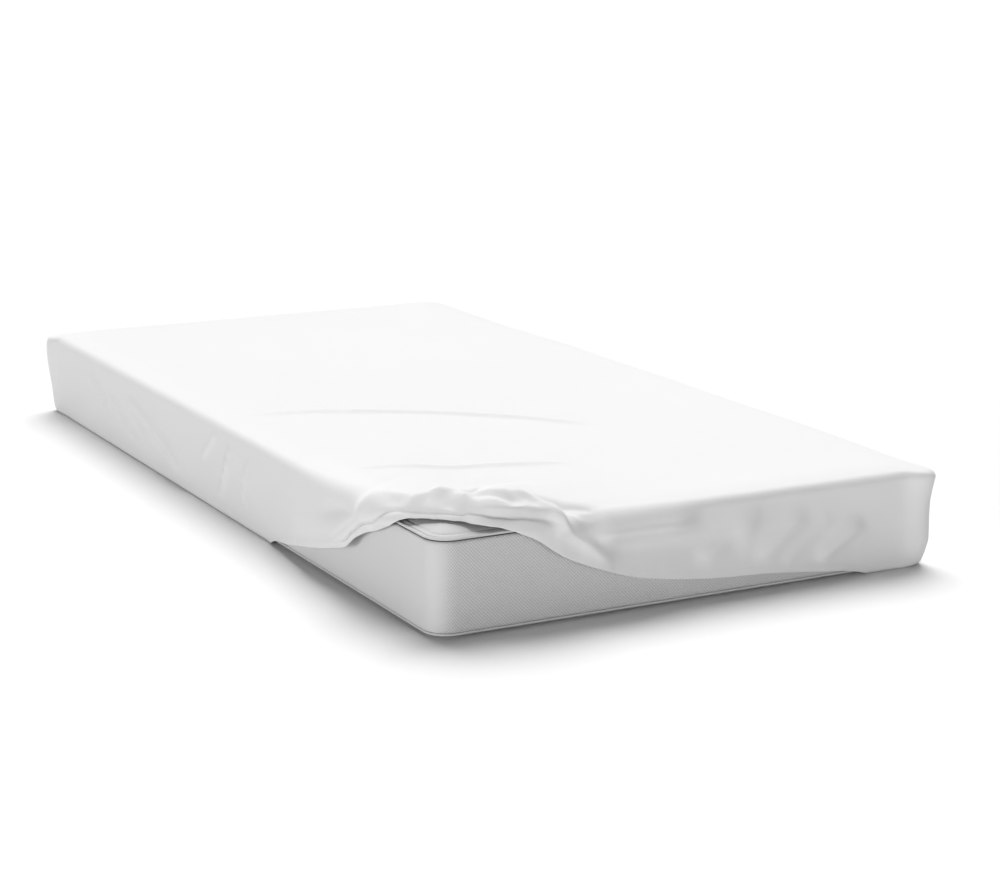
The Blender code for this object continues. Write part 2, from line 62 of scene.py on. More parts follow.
# The mattress, as in the frame
MATTRESS_LOW, MATTRESS_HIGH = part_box("mattress")
WIDTH = round(MATTRESS_HIGH.x - MATTRESS_LOW.x, 4)
LENGTH = round(MATTRESS_HIGH.y - MATTRESS_LOW.y, 4)
CORNER_RADIUS = 0.045
PERIMETER = 2 * (WIDTH + LENGTH)
CORNER_PLACES = (0.0, WIDTH, WIDTH + LENGTH, 2 * WIDTH + LENGTH)

# Piping: inset from the outline, height and radius
TOP_PIPING = (0.0040, 0.1720, 0.0025)
BOTTOM_PIPING = (0.0044, 0.0086, 0.0022)

# The sheet's outer face, as in the frame
STAND_CLEAR = 0.0048
EDGE_HEIGHT = 0.1795
TOP_HEIGHT = 0.1885
TOP_CROWN_WIDTH = 0.065
UPPER_RADIUS = 0.013
LOWER_RADIUS = 0.008
TUCK_WIDTH = 0.090
PILE_REACH = 0.240
PILE_ROUND = 1.25
PILE_LEAN = 0.50
FOOT_FADE = 0.030
STAND_FADE = 0.030
STAND_ROUND = 1.5
STEP_RISE = 0.006
STEP_RUN = 0.048
FOLD_ENDS = 0.30

HALF_X = WIDTH / 2 + STAND_CLEAR
HALF_Y = LENGTH / 2 + STAND_CLEAR
SHEET_RADIUS = CORNER_RADIUS + STAND_CLEAR
UPPER_ARC = UPPER_RADIUS * math.pi / 2
LOWER_ARC = LOWER_RADIUS * math.pi / 2
SIDE_LENGTH = EDGE_HEIGHT - UPPER_RADIUS - LOWER_RADIUS
SIDE_START = UPPER_ARC / 2
SIDE_END = SIDE_START + SIDE_LENGTH
TUCK_START = SIDE_END + LOWER_ARC
FULL_DEPTH = TUCK_START + TUCK_WIDTH

# Sections of the hem round the mattress, by their place along the perimeter.
# depth: the hem's depth; stand: how far it stands off; crest, back: the height of the pile of
# cloth behind it, and how far behind it that lies; band, step: the width of the hem's casing, or
# of the strip that the pocket's slack leaves bare where it folds over, and the rise behind it
HEM_SECTIONS = (
    # place,  depth,  stand,  crest,  back,   band,   step
    (-1.100, FULL_DEPTH, 0.000, 0.000, 0.060, 0.013, 0.000),
    (-0.800, 0.240, 0.000, 0.000, 0.060, 0.013, 0.000),
    (-0.650, 0.163, 0.005, 0.000, 0.100, 0.013, 0.000),
    (-0.560, 0.146, 0.014, 0.000, 0.110, 0.013, 0.000),
    (-0.480, 0.128, 0.020, 0.005, 0.120, 0.013, 0.000),
    (-0.400, 0.111, 0.021, 0.010, 0.110, 0.013, 0.000),
    (-0.330, 0.093, 0.019, 0.015, 0.096, 0.012, 0.000),
    (-0.295, 0.083, 0.017, 0.018, 0.088, 0.010, 0.000),
    (-0.260, 0.058, 0.013, 0.021, 0.074, 0.011, 0.001),
    (-0.225, 0.041, 0.010, 0.022, 0.060, 0.016, 0.002),
    (-0.190, 0.030, 0.008, 0.026, 0.050, 0.019, 0.003),
    (-0.155, 0.015, 0.005, 0.028, 0.042, 0.016, 0.003),
    (-0.100, -0.009, 0.003, 0.029, 0.036, 0.009, 0.003),
    (-0.050, -0.034, 0.001, 0.030, 0.035, 0.008, 0.003),
    (-0.012, -0.043, 0.001, 0.032, 0.037, 0.0095, 0.003),
    (0.025, -0.041, 0.001, 0.043, 0.042, 0.0125, 0.003),
    (0.065, -0.021, 0.002, 0.047, 0.050, 0.0145, 0.006),
    (0.095, -0.008, 0.003, 0.044, 0.056, 0.013, 0.011),
    (0.130, 0.002, 0.006, 0.036, 0.060, 0.011, 0.013),
    (0.160, 0.010, 0.009, 0.027, 0.062, 0.014, 0.013),
    (0.185, 0.022, 0.010, 0.020, 0.068, 0.023, 0.013),
    (0.212, 0.041, 0.011, 0.014, 0.070, 0.037, 0.011),
    (0.240, 0.059, 0.012, 0.010, 0.074, 0.045, 0.000),
    (0.310, 0.089, 0.012, 0.006, 0.086, 0.020, 0.000),
    (0.390, 0.114, 0.011, 0.003, 0.100, 0.013, 0.000),
    (0.540, 0.135, 0.010, 0.000, 0.100, 0.013, 0.000),
    (0.650, 0.142, 0.008, 0.000, 0.060, 0.013, 0.000),
    (0.750, 0.154, 0.005, 0.000, 0.060, 0.013, 0.000),
    (0.840, 0.166, 0.002, 0.000, 0.060, 0.013, 0.000),
    (0.920, 0.195, 0.000, 0.000, 0.060, 0.013, 0.000),
    (1.050, 0.255, 0.000, 0.000, 0.060, 0.013, 0.000),
    (1.250, FULL_DEPTH, 0.000, 0.000, 0.060, 0.013, 0.000),
)

# The main folds, each a soft ridge from one point to another, bent sideways by its bow
FOLDS = (
    # name, from x, y, z, to x, y, z, bow, half width, height
    ("long crease on top", -0.470, -0.030, 0.188, 0.130, -0.440, 0.188, 0.080, 0.022, 0.005),
    ("short crease on top", -0.455, -0.585, 0.188, -0.080, -0.680, 0.188, 0.012, 0.020, 0.003),
    ("bulge along the right edge", 0.500, -1.150, 0.183, 0.500, 0.750, 0.183, 0.000, 0.032, 0.005),
    ("bulge over the left hem", -0.504, -0.430, 0.060, -0.504, -0.770, 0.140, -0.012, 0.024, 0.007),
    ("valley above it", -0.504, -0.560, 0.120, -0.504, -0.770, 0.190, 0.000, 0.018, -0.006),
    ("ridge up the left side", -0.504, -0.640, 0.080, -0.500, -0.832, 0.208, 0.000, 0.013, 0.009),
    ("hollow behind the ridge", -0.503, -0.775, 0.150, -0.478, -0.880, 0.196, 0.000, 0.012, -0.006),
    ("ridge up to the peak", -0.484, -0.870, 0.187, -0.396, -0.890, 0.188, 0.000, 0.010, 0.005),
    ("left pleat one", -0.504, -0.075, 0.030, -0.504, -0.120, 0.130, 0.000, 0.011, 0.004),
    ("left pleat two", -0.504, -0.210, 0.030, -0.504, -0.203, 0.140, 0.000, 0.011, 0.004),
    ("left drag one", -0.504, 0.480, 0.145, -0.504, 0.330, 0.030, 0.000, 0.016, 0.004),
    ("left drag two", -0.504, 0.370, 0.110, -0.504, 0.130, 0.025, 0.010, 0.018, 0.005),
    ("left drag three", -0.504, 0.760, 0.140, -0.504, 0.690, 0.030, 0.000, 0.016, 0.004),
    ("peak of the pile", -0.438, -0.886, 0.188, -0.380, -0.905, 0.188, 0.000, 0.010, 0.012),
    ("hollow under the peak", -0.432, -0.908, 0.188, -0.418, -0.958, 0.188, 0.000, 0.008, -0.006),
    ("corner seam", -0.404, -0.896, 0.188, -0.410, -0.962, 0.188, 0.003, 0.007, 0.004),
    ("hollow beside the seam", -0.405, -0.922, 0.188, -0.345, -0.845, 0.188, 0.000, 0.012, -0.014),
    ("hollow over the roll", -0.408, -0.916, 0.188, -0.325, -0.988, 0.187, 0.000, 0.010, -0.006),
    ("roll over the front hem", -0.412, -0.945, 0.188, -0.285, -1.000, 0.183, 0.000, 0.014, 0.002),
    ("front fold on top", -0.340, -0.932, 0.188, -0.250, -1.020, 0.172, 0.000, 0.010, 0.010),
    ("front fold on the side", -0.300, -1.004, 0.204, -0.165, -1.004, 0.092, 0.000, 0.011, 0.009),
    ("hollow beside the fold", -0.300, -0.940, 0.188, -0.180, -1.012, 0.182, 0.000, 0.018, -0.012),
    ("front patch", -0.240, -1.004, 0.156, 0.020, -1.004, 0.144, 0.000, 0.020, 0.017),
    ("front drag one", -0.010, -1.004, 0.070, 0.140, -1.004, 0.140, 0.000, 0.020, 0.007),
    ("front drag two", 0.115, -1.004, 0.055, 0.240, -1.004, 0.140, 0.000, 0.020, 0.007),
    ("front drag three", 0.250, -1.004, 0.040, 0.360, -1.004, 0.110, 0.000, 0.018, 0.006),
)

# Finer lines that only the cloth's mesh carries, set out like the folds
FINE_FOLDS = (
    # name, from x, y, z, to x, y, z, bow, half width, height
    ("line of the long crease", -0.490, -0.036, 0.188, 0.150, -0.480, 0.188, 0.076, 0.010, 0.0048),
    ("line of the short crease", -0.480, -0.590, 0.188, -0.050, -0.692, 0.188, 0.008, 0.010, 0.0038),
    ("left pleat line one", -0.504, -0.066, 0.030, -0.504, -0.126, 0.155, 0.000, 0.006, 0.0065),
    ("left pleat line two", -0.504, -0.168, 0.015, -0.504, -0.218, 0.145, 0.000, 0.006, 0.0070),
    ("left drag line one", -0.504, 0.490, 0.130, -0.504, 0.110, 0.028, 0.015, 0.009, 0.0065),
    ("left drag line two", -0.504, 0.600, 0.120, -0.504, 0.400, 0.040, 0.000, 0.009, 0.0060),
    ("left drag line three", -0.504, 0.030, 0.090, -0.504, -0.060, 0.165, 0.000, 0.009, 0.0055),
    ("left drag line four", -0.504, 0.720, 0.150, -0.504, 0.560, 0.050, 0.000, 0.009, 0.0060),
    ("front hollow", -0.190, -1.004, 0.124, 0.110, -1.004, 0.100, 0.000, 0.028, -0.0065),
    ("front drag line one", 0.000, -1.004, 0.080, 0.140, -1.004, 0.154, 0.000, 0.014, 0.0024),
    ("front drag line two", 0.180, -1.004, 0.046, 0.290, -1.004, 0.126, 0.000, 0.012, 0.0024),
    ("front drag line three", 0.250, -1.004, 0.042, 0.360, -1.004, 0.100, 0.000, 0.010, 0.0022),
)
FINE_ENDS = 0.15

# The three fitted corners, where the seam stands out past the mattress's rounded corner
EAR_SECTIONS = (
    # depth, reach at the right corner, the far one and the left one
    (-0.060, 0.000, 0.000, 0.000),
    (0.000, 0.028, 0.010, 0.026),
    (0.030, 0.024, 0.011, 0.030),
    (0.060, 0.020, 0.011, 0.028),
    (0.095, 0.020, 0.010, 0.023),
    (0.125, 0.020, 0.009, 0.019),
    (0.145, 0.016, 0.008, 0.017),
    (0.165, 0.010, 0.006, 0.014),
    (TUCK_START, 0.004, 0.002, 0.006),
    (TUCK_START + 0.020, 0.000, 0.000, 0.000),
)
EAR_LENGTH = 0.030

# Rows of the fine cloth: from one depth to another, and their spacing
ROW_STRETCHES = (
    # from, to, step
    (-PILE_REACH, -0.030, 0.0100),
    (-0.030, -SIDE_START, 0.0060),
    (-SIDE_START, SIDE_START, 0.0028),
    (SIDE_START, SIDE_END, 0.0066),
    (SIDE_END, TUCK_START, 0.0030),
    (TUCK_START, TUCK_START + 0.060, 0.0200),
)
ROW_GAP = 0.0042

# Rows over the hem, as shares of its band, and past it by shares of the step's rise
BAND_SHARES = (1.0, 0.92, 0.80, 0.55, 0.28, 0.08, 0.0)
RISE_SHARES = (1.0, 0.72, 0.46, 0.22)

# Columns of the fine cloth: from one place to another, and their spacing
COLUMN_STRETCHES = (
    # from, to, step
    (-1.100, -0.700, 0.0120),
    (-0.700, 0.450, 0.0055),
    (0.450, 0.930, 0.0100),
    (0.930, 1.070, 0.0040),
    (1.070, 2.930, 0.0290),
    (2.930, 3.070, 0.0040),
    (3.070, 3.930, 0.0290),
    (3.930, 4.070, 0.0040),
    (4.070, 4.900, 0.0290),
)
SEAM_COLUMNS = (-0.0055, -0.0030, -0.0015, 0.0015, 0.0030, 0.0055)
COLUMN_GAP = 0.0008
INNER_SPACING = 0.014
RIM_GAP = 0.6 * INNER_SPACING

# The closer points beside a crease on top: steps along it, and offsets as shares of its half width
CREASE_STEPS = 72
CREASE_GAP = 0.006
CREASE_OFFSETS = (-1.9, -1.35, -0.95, -0.6, -0.3, 0.0, 0.3, 0.6, 0.95, 1.35, 1.9)

# Fine relief of the cloth: waves across a direction, each with a length and a height
UNEVEN_WAVES = (
    # direction x, y, z, wave length, height, phase
    (0.80, 0.60, 0.30, 0.310, 0.00050, 0.4),
    (-0.45, 0.89, 0.70, 0.190, 0.00030, 2.1),
    (0.95, -0.30, 1.20, 0.127, 0.00020, 4.0),
    (0.20, 0.98, -1.60, 0.083, 0.00012, 1.3),
)
GATHERS = (
    # wave length along the hem, height, phase
    (0.0170, 0.00010, 0.0),
    (0.0231, 0.00014, 1.9),
    (0.0415, 0.00024, 3.3),
)
GATHER_RUN = 0.022

# The line along the casing and under the front fold: where it is drawn in, and its bulge and groove
CASING_SEEN = (-0.310, 0.250)
CASING_FADE = 0.030
CASING_BULGE = 0.0006
CASING_ROUND = 0.7
CASING_GROOVE = 0.0024
CASING_GROOVE_WIDTH = 0.0011

# The thick part of the cloth at the hem: its width, and the stretch over which it thins
HEM_WIDTH = 0.018
HEM_BLEND = 0.006

# The seams down the fitted corners: a ridge on both sides of a groove, and where they begin on top
SEAM_RIDGE = 0.0011
SEAM_RIDGE_PLACE = 0.0030
SEAM_RIDGE_WIDTH = 0.0018
SEAM_GROOVE = 0.0012
SEAM_GROOVE_WIDTH = 0.0011
SEAM_TOP = -0.012
SEAM_FADE = 0.020

# The sewing: where the hem's stitches begin and end, the step and the points of their lines, how
# far the seams' rows lie from the seam, and how much the stitches differ in size
HEM_SEWN = (0.36, PERIMETER + 0.055)
HEM_LINE_STEP = 0.003
SEAM_LINE_TOP = -0.004
SEAM_LINE_POINTS = 60
SEAM_ROW_PLACES = (-0.0034, 0.0034)
STITCH_SHARES = (0.85, 1.10)
STITCH_CLEAR = 0.0005

# The finishes of the cloths. Relief is a depth, or for the knit the threads' share of its depth.
# The pitch of the sheet's threads is one of its settings
FINISHES = {
    # roughness, sheen, scale and range of the tone, pitch and slub of the threads, relief, strength
    "knitted sheet cotton": (0.88, 0.10, 2.2, 0.012, None, 0.5, 0.00012, 0.35),
    "sewing thread": (0.70, 0.00, 60.0, 0.050, 0.0004, 0.2, 0.00005, 0.3),
    # Painted groove shade: a dark grey in the grooves behind the piping, standing in for their shadow
    "painted groove shade": (0.95, 0.00, 40.0, 0.100, 0.0010, 0.4, 0.00010, 0.4),
    "piping tape": (0.80, 0.00, 30.0, 0.040, 0.0013, 0.3, 0.00020, 0.5),
    "knit": (0.90, 0.10, 3.0, 0.020, 0.0012, 0.6, 0.08, 0.6),
}

# The threads: the scale of their slubs and the share of their courses. The shade of the sewing
# thread, and the painted shade of the grooves behind the piping: a dark grey for their shadow
SLUB_SCALE = 90.0
COURSE_SHARE = 0.35
THREAD_SHADE = 0.92
PAINTED_GROOVE_SHADE = 0.22

# The mattress's section from its underside up its border: inset from the outline, and height
BORDER_SECTION = (
    # inset, height
    (0.1150, 0.0000),
    (0.1000, 0.0050),
    (0.0500, 0.0050),
    (0.0085, 0.0050),
    (0.0072, 0.0060),
    (0.0070, 0.0094),
    (0.0064, 0.0108),
    (0.0032, 0.0114),
    (0.0012, 0.0128),
    (0.0004, 0.0158),
    (0.0000, 0.0220),
    (0.0000, 0.0500),
    (0.0000, 0.0700),
    (0.0000, 0.0900),
    (0.0000, 0.1100),
    (0.0000, 0.1300),
    (0.0000, 0.1500),
    (0.0002, 0.1600),
    (0.0008, 0.1642),
    (0.0020, 0.1663),
    (0.0040, 0.1673),
    (0.0068, 0.1675),
)

# On over the top panel: inset, and height
PANEL_SECTION = (
    # inset, height
    (0.0074, 0.1700),
    (0.0075, 0.1722),
    (0.0080, 0.1736),
    (0.0100, 0.1745),
    (0.0130, 0.1752),
    (0.0160, 0.1758),
    (0.0172, 0.1751),
    (0.0180, 0.1749),
    (0.0188, 0.1754),
    (0.0204, 0.1766),
    (0.0240, 0.1780),
    (0.0290, 0.1796),
    (0.0350, 0.1812),
    (0.0450, 0.1835),
    (0.0560, 0.1853),
    (0.0700, 0.1862),
    (0.2000, 0.1862),
    (0.4000, 0.1862),
)

# The panel begins over a height and has a seam at an inset, with puckers beside it: their wave
# lengths, height and width
PANEL_START = 0.1730
PANEL_SEAM = 0.0180
PANEL_PUCKERS = (0.0113, 0.0167, 0.0240)
PUCKER_HEIGHT = 0.00022
PUCKER_WIDTH = 0.0060

# The rows of the section in the grooves behind the piping, which take the painted shade, and the
# least corner radius
PAINTED_SHADE_ROWS = (5, 6, 20, 21)
LEAST_RADIUS = 0.010

# Where the border's knitted dots begin, and the painted shade that darkens the smoother cloth of the
# long side
DOTS_BEGIN = (-0.012, 0.024)
LONG_SIDE_PAINTED_SHADE = 0.90

# The two knits: the share of the dots' depth, the painted shade that darkens their pits, and where
# they begin
BORDER_KNIT = (1.2, 0.74, DOTS_BEGIN)
PANEL_KNIT = (0.25, 0.96, None)

# The piping: the step along it, its unevenness as a share of its radius, and the scale of that
PIPING_STEP = 0.006
PIPING_UNEVENNESS = 0.12
PIPING_NOISE = 55.0

# Columns of the mattress and the piping: from one place to another, and their spacing
MATTRESS_COLUMNS = (
    # from, to, step
    (-0.600, -0.045, 0.0040),
    (-0.045, 0.045, 0.0030),
    (0.045, 0.600, 0.0040),
    (0.600, 0.955, 0.0200),
    (0.955, 1.045, 0.0060),
    (1.045, 2.955, 0.0400),
    (2.955, 3.045, 0.0060),
    (3.045, 3.955, 0.0400),
    (3.955, 4.045, 0.0060),
    (4.045, 5.400, 0.0400),
)

# The camera: its place, the way it looks and what is to its right
CAMERA_PLACE = Vector((-2.1299, -4.2784, 1.2020))
CAMERA_LOOK = Vector((0.45874, 0.85867, -0.22858))
CAMERA_RIGHT = Vector((0.88230, -0.47060, 0.00280))


def a_size(name, description, default, low, high):
    """Return a property that holds a length."""
    return FloatProperty(
        name=name, description=description, default=default, min=low, max=high, unit="LENGTH"
    )


def a_colour(name, description, default):
    """Return a property that holds a colour."""
    return FloatVectorProperty(
        name=name, description=description, default=default, min=0.0, max=1.0, subtype="COLOR"
    )


def a_strength(name, description, default, high=20.0):
    """Return a property that holds a light's strength."""
    return FloatProperty(name=name, description=description, default=default, min=0.0, max=high)


def a_spread(name, description, degrees):
    """Return a property that holds the angle that a light takes up in the sky."""
    angle = math.radians(degrees)
    return FloatProperty(
        name=name, description=description, default=angle, min=0.0, max=math.pi, subtype="ANGLE"
    )


def a_way(name, description, default):
    """Return a property that holds a direction."""
    return FloatVectorProperty(
        name=name, description=description, default=default, subtype="DIRECTION"
    )


class SheetSizes(PropertyGroup):
    cloth: a_size("Cloth thickness", "Thickness of the knitted cloth", 0.0012, 0.0005, 0.0030)
    hem: a_size(
        "Hem thickness", "Thickness of the hem, with its elastic in the casing", 0.0030, 0.0010, 0.0060
    )
    thread_pitch: a_size(
        "Thread pitch", "Distance between neighbouring threads of the knit", 0.0011, 0.0004, 0.0040
    )
    stitch_pitch: a_size(
        "Stitch pitch",
        "Distance between the stitches of the hem and the seams",
        0.0044,
        0.0020,
        0.0100,
    )
    stitch_length: a_size("Stitch length", "Length of one stitch on the cloth", 0.0031, 0.0010, 0.0080)
    stitch_thread: a_size(
        "Sewing thread radius", "Radius of the sewing thread", 0.00032, 0.0001, 0.0010
    )
    colour: a_colour("Cloth colour", "Colour of the sheet", (0.65, 0.65, 0.652))


class MattressSizes(PropertyGroup):
    knit_pitch: a_size(
        "Knit pitch", "Distance between the dots of the cover's knit", 0.0060, 0.0020, 0.0200
    )
    knit_depth: a_size("Knit depth", "Depth of the dots of the cover's knit", 0.0009, 0.0, 0.0030)
    piping_sides: IntProperty(
        name="Piping sides", description="Number of faces round the piping", default=14, min=6, max=32
    )
    border_colour: a_colour("Border colour", "Colour of the cover's border", (0.645, 0.645, 0.649))
    panel_colour: a_colour("Panel colour", "Colour of the cover's top panel", (0.49, 0.49, 0.494))
    piping_colour: a_colour("Piping colour", "Colour of the piping", (0.56, 0.56, 0.564))


class StageSizes(PropertyGroup):
    floor_size: a_size("Floor size", "Side of the square floor", 160.0, 5.0, 400.0)
    floor_colour: a_colour("Floor colour", "Colour of the floor", (0.73, 0.73, 0.73))
    sky: a_strength("Sky strength", "Strength of the even light from all round", 0.14, 4.0)
    key: a_strength("Key light strength", "Strength of the soft light from above and behind", 4.45)
    key_spread: a_spread("Key light spread", "Angle that the key light takes up in the sky", 50)
    key_way: a_way("Key light direction", "The way from the bed to the key light", (0.26, 0.46, 0.84))
    side_fill: a_strength("Side fill strength", "Strength of the faint light from the left", 2.1)
    side_way: a_way(
        "Side fill direction", "The way from the bed to the light on the left", (-0.90, -0.34, 0.09)
    )
    front_fill: a_strength("Front fill strength", "Strength of the faint light from the front", 0.72)
    front_way: a_way(
        "Front fill direction", "The way from the bed to the light in front", (0.22, -0.96, 0.09)
    )
    fill_spread: a_spread("Fill light spread", "Angle that each fill light takes up in the sky", 28)
    focal_length: FloatProperty(
        name="Focal length",
        description="Focal length of the camera's lens, in millimetres",
        default=84.54,
        min=20.0,
        max=300.0,
    )


# Shapes shared by the pieces


def smoothstep(x):
    """Rise softly from 0 to 1 as x goes from 0 to 1."""
    x = np.clip(x, 0.0, 1.0)
    return x * x * (3.0 - 2.0 * x)


def soft_curve(x, knots, values):
    """Read a smooth curve through the knots without overshoot."""
    knots, values = np.asarray(knots), np.asarray(values)
    run, rise = np.diff(knots), np.diff(values)
    slope = rise / run
    tangent = np.zeros(len(knots))
    same_way = slope[1:] * slope[:-1] > 0
    mean = 2 * slope[1:] * slope[:-1] / np.where(same_way, slope[1:] + slope[:-1], 1.0)
    tangent[1:-1] = np.where(same_way, mean, 0.0)
    x = np.clip(x, knots[0], knots[-1])
    k = np.clip(np.searchsorted(knots, x, side="right") - 1, 0, len(run) - 1)
    t = (x - knots[k]) / run[k]
    return (
        values[k] * (1 + 2 * t) * (1 - t) ** 2
        + values[k + 1] * t * t * (3 - 2 * t)
        + run[k] * tangent[k] * t * (1 - t) ** 2
        - run[k] * tangent[k + 1] * t * t * (1 - t)
    )


def rounded_outline(place, half_x, half_y, radius):
    """Return the plan points and outward ways of a rounded rectangle at places on the perimeter."""
    corners = np.array([(-1, -1), (1, -1), (1, 1), (-1, 1), (-1, -1)]) * (half_x, half_y)
    lengths = (WIDTH, LENGTH, WIDTH, LENGTH)
    starts = np.cumsum((0.0, *lengths))
    points, outwards = [], []
    for along in np.mod(place, PERIMETER):
        side = min(int(np.searchsorted(starts, along, side="right")) - 1, 3)
        run = along - starts[side]
        way = corners[side + 1] - corners[side]
        way = way / np.linalg.norm(way)
        out = np.array((way[1], -way[0]))
        left = lengths[side] - run
        if run < CORNER_RADIUS or left < CORNER_RADIUS:
            turn = 1.0 if left < CORNER_RADIUS else -1.0
            corner = corners[side + 1] if turn > 0 else corners[side]
            angle = math.pi / 4 * (1 + min(run, left) / CORNER_RADIUS)
            outward = out * math.sin(angle) + way * turn * math.cos(angle)
            point = corner - (way * turn + out) * radius + outward * radius
        else:
            straight = 2 * (half_x if side % 2 == 0 else half_y) - 2 * radius
            share = (run - CORNER_RADIUS) / (lengths[side] - 2 * CORNER_RADIUS)
            point = corners[side] + way * (radius + straight * share)
            outward = out
        points.append(point)
        outwards.append(outward)
    return np.array(points), np.array(outwards)


def stretches(table):
    """Return the positions that a table of stretches sets out, without the last end."""
    places = []
    for start, end, step in table:
        places += list(np.linspace(start, end, max(round((end - start) / step), 1), endpoint=False))
    return np.array(places)


# The sheet's shape


def cloth_section(depth):
    """Return the inset from the outline, the height and the tilt of the cloth at each depth."""
    upper = np.clip((depth + SIDE_START) / UPPER_RADIUS, 0, math.pi / 2)
    lower = np.clip((depth - SIDE_END) / LOWER_RADIUS, 0, math.pi / 2)
    on_top = np.minimum(depth + SIDE_START, 0)
    down = np.clip(depth - SIDE_START, 0, SIDE_LENGTH)
    under = np.maximum(depth - TUCK_START, 0)
    inset = UPPER_RADIUS * (1 - np.sin(upper)) - on_top + LOWER_RADIUS * (1 - np.cos(lower)) + under
    height = EDGE_HEIGHT - UPPER_RADIUS * (1 - np.cos(upper)) - down - LOWER_RADIUS * np.sin(lower)
    return inset, height, upper + lower


def crown(x, y):
    """Return how far the cloth's top rises above its height at the mattress's edge."""
    across = np.clip((HALF_X - np.abs(x)) / TOP_CROWN_WIDTH, 0, 1)
    along = np.clip((HALF_Y - np.abs(y)) / TOP_CROWN_WIDTH, 0, 1)
    return (TOP_HEIGHT - EDGE_HEIGHT) * (1 - (1 - across) ** 2) * (1 - (1 - along) ** 2)


def fold_line(start, end, bow, share):
    """Return points at shares of a fold's bowed line, and the way to its side on the cloth."""
    if min(start[2], end[2]) > EDGE_HEIGHT:
        facing = (0.0, 0.0, 1.0)
    else:
        facing = (-1.0, 0.0, 0.0) if start[0] < -WIDTH / 2 + CORNER_RADIUS else (0.0, -1.0, 0.0)
    span = end - start
    beside = np.cross(facing, span / np.linalg.norm(span))
    return start + share[..., None] * span + (4 * bow * share * (1 - share))[..., None] * beside


def fold_height(points):
    """Return how far the folds lift the cloth at points of its even surface."""
    lift = np.zeros(points.shape[:-1])
    both = [(row, FOLD_ENDS) for row in FOLDS] + [(row, FINE_ENDS) for row in FINE_FOLDS]
    for (_, x0, y0, z0, x1, y1, z1, bow, half_width, height), fade in both:
        start, end = np.array((x0, y0, z0)), np.array((x1, y1, z1))
        span = end - start
        share = np.clip(((points - start) @ span) / (span @ span), 0, 1)
        gap = np.linalg.norm(points - fold_line(start, end, bow, share), axis=-1)
        ends = smoothstep(share / fade) * smoothstep((1 - share) / fade)
        lift += height * ends * np.exp(-((gap / half_width) ** 2))
    return lift


def uneven_height(points):
    """Return the slight unevenness of stretched cloth at points of its even surface."""
    lift = np.zeros(points.shape[:-1])
    for x, y, z, wave_length, height, phase in UNEVEN_WAVES:
        lift += height * np.sin(points @ np.array((x, y, z)) * 2 * math.pi / wave_length + phase)
    return lift


def ear_reach(place, depth):
    """Return how far the seams of the three fitted corners stand out."""
    table = np.array(EAR_SECTIONS)
    reach = np.zeros(depth.shape)
    for k, corner in enumerate(CORNER_PLACES[1:]):
        gap = np.abs(np.mod(place, PERIMETER) - corner)[:, None]
        reach += soft_curve(depth, table[:, 0], table[:, k + 1]) * np.exp(-((gap / EAR_LENGTH) ** 2))
    return reach


def hem_values(place):
    """Read the hem's table at places on the perimeter."""
    table = np.array(HEM_SECTIONS)
    place = np.mod(place + PERIMETER / 2, PERIMETER) - PERIMETER / 2
    return [soft_curve(place, table[:, 0], table[:, k]) for k in range(1, table.shape[1])]


def hem_band(place):
    """Return the depth that the hem's band takes at each place, less where the cloth stands up."""
    _, _, crest, back, band, _ = hem_values(place)
    rise = PILE_ROUND * crest / back
    return band / np.hypot(1 - PILE_LEAN * rise, rise)


def casing_relief(place, behind):
    """Return the height of the elastic in its casing, and of the groove along its stitches."""
    band = hem_band(place)[:, None]
    first, last = CASING_SEEN
    shown = smoothstep((place - first) / CASING_FADE) * smoothstep((last - place) / CASING_FADE)
    across = np.clip(behind / band, 0, 1)
    groove = np.exp(-(((behind - band) / CASING_GROOVE_WIDTH) ** 2))
    bulge = np.sin(math.pi * across) ** CASING_ROUND
    gathers = np.zeros_like(behind)
    for wave_length, height, phase in GATHERS:
        gathers = gathers + height * np.sin(place[:, None] * 2 * math.pi / wave_length + phase)
    gathers *= np.exp(-((np.maximum(behind - band, 0) / GATHER_RUN) ** 2))
    return shown[:, None] * (CASING_BULGE * bulge - CASING_GROOVE * groove) + gathers


def seam_relief(place, depth):
    """Return the height of the seams down the three fitted corners."""
    lift = np.zeros(depth.shape)
    for corner in CORNER_PLACES[1:]:
        gap = np.abs(np.mod(place, PERIMETER) - corner)[:, None]
        lift += SEAM_RIDGE * np.exp(-(((gap - SEAM_RIDGE_PLACE) / SEAM_RIDGE_WIDTH) ** 2))
        lift -= SEAM_GROOVE * np.exp(-((gap / SEAM_GROOVE_WIDTH) ** 2))
    return lift * smoothstep((depth - SEAM_TOP) / SEAM_FADE)


def sheet_lift(place, depth, points):
    """Return how high the cloth is piled up behind its hem, and how far it stands off in all."""
    hem, stand, crest, back, _, step = (value[:, None] for value in hem_values(place))
    behind = hem - depth
    before = 1 - (1 - np.clip(behind / back, 0, 1)) ** PILE_ROUND
    beyond = np.clip((behind - back) / (PILE_REACH + hem - back), 0, 1)
    past = behind - hem_band(place)[:, None]
    pile = crest * np.where(behind < back, before, (1 - beyond**2) ** 2)
    pile += step * smoothstep(past / STEP_RISE) * np.exp(-np.maximum(past, 0) / STEP_RUN)
    nearing = np.clip(1 - behind / (np.maximum(hem, STAND_FADE) + STAND_FADE), 0, 1)
    lift = stand * nearing**STAND_ROUND
    lift += fold_height(points)
    lift += uneven_height(points) + casing_relief(place, behind) + seam_relief(place, depth)
    foot = smoothstep((TUCK_START - depth) / FOOT_FADE)
    return pile * foot, np.maximum(pile + lift, 0.0) * foot


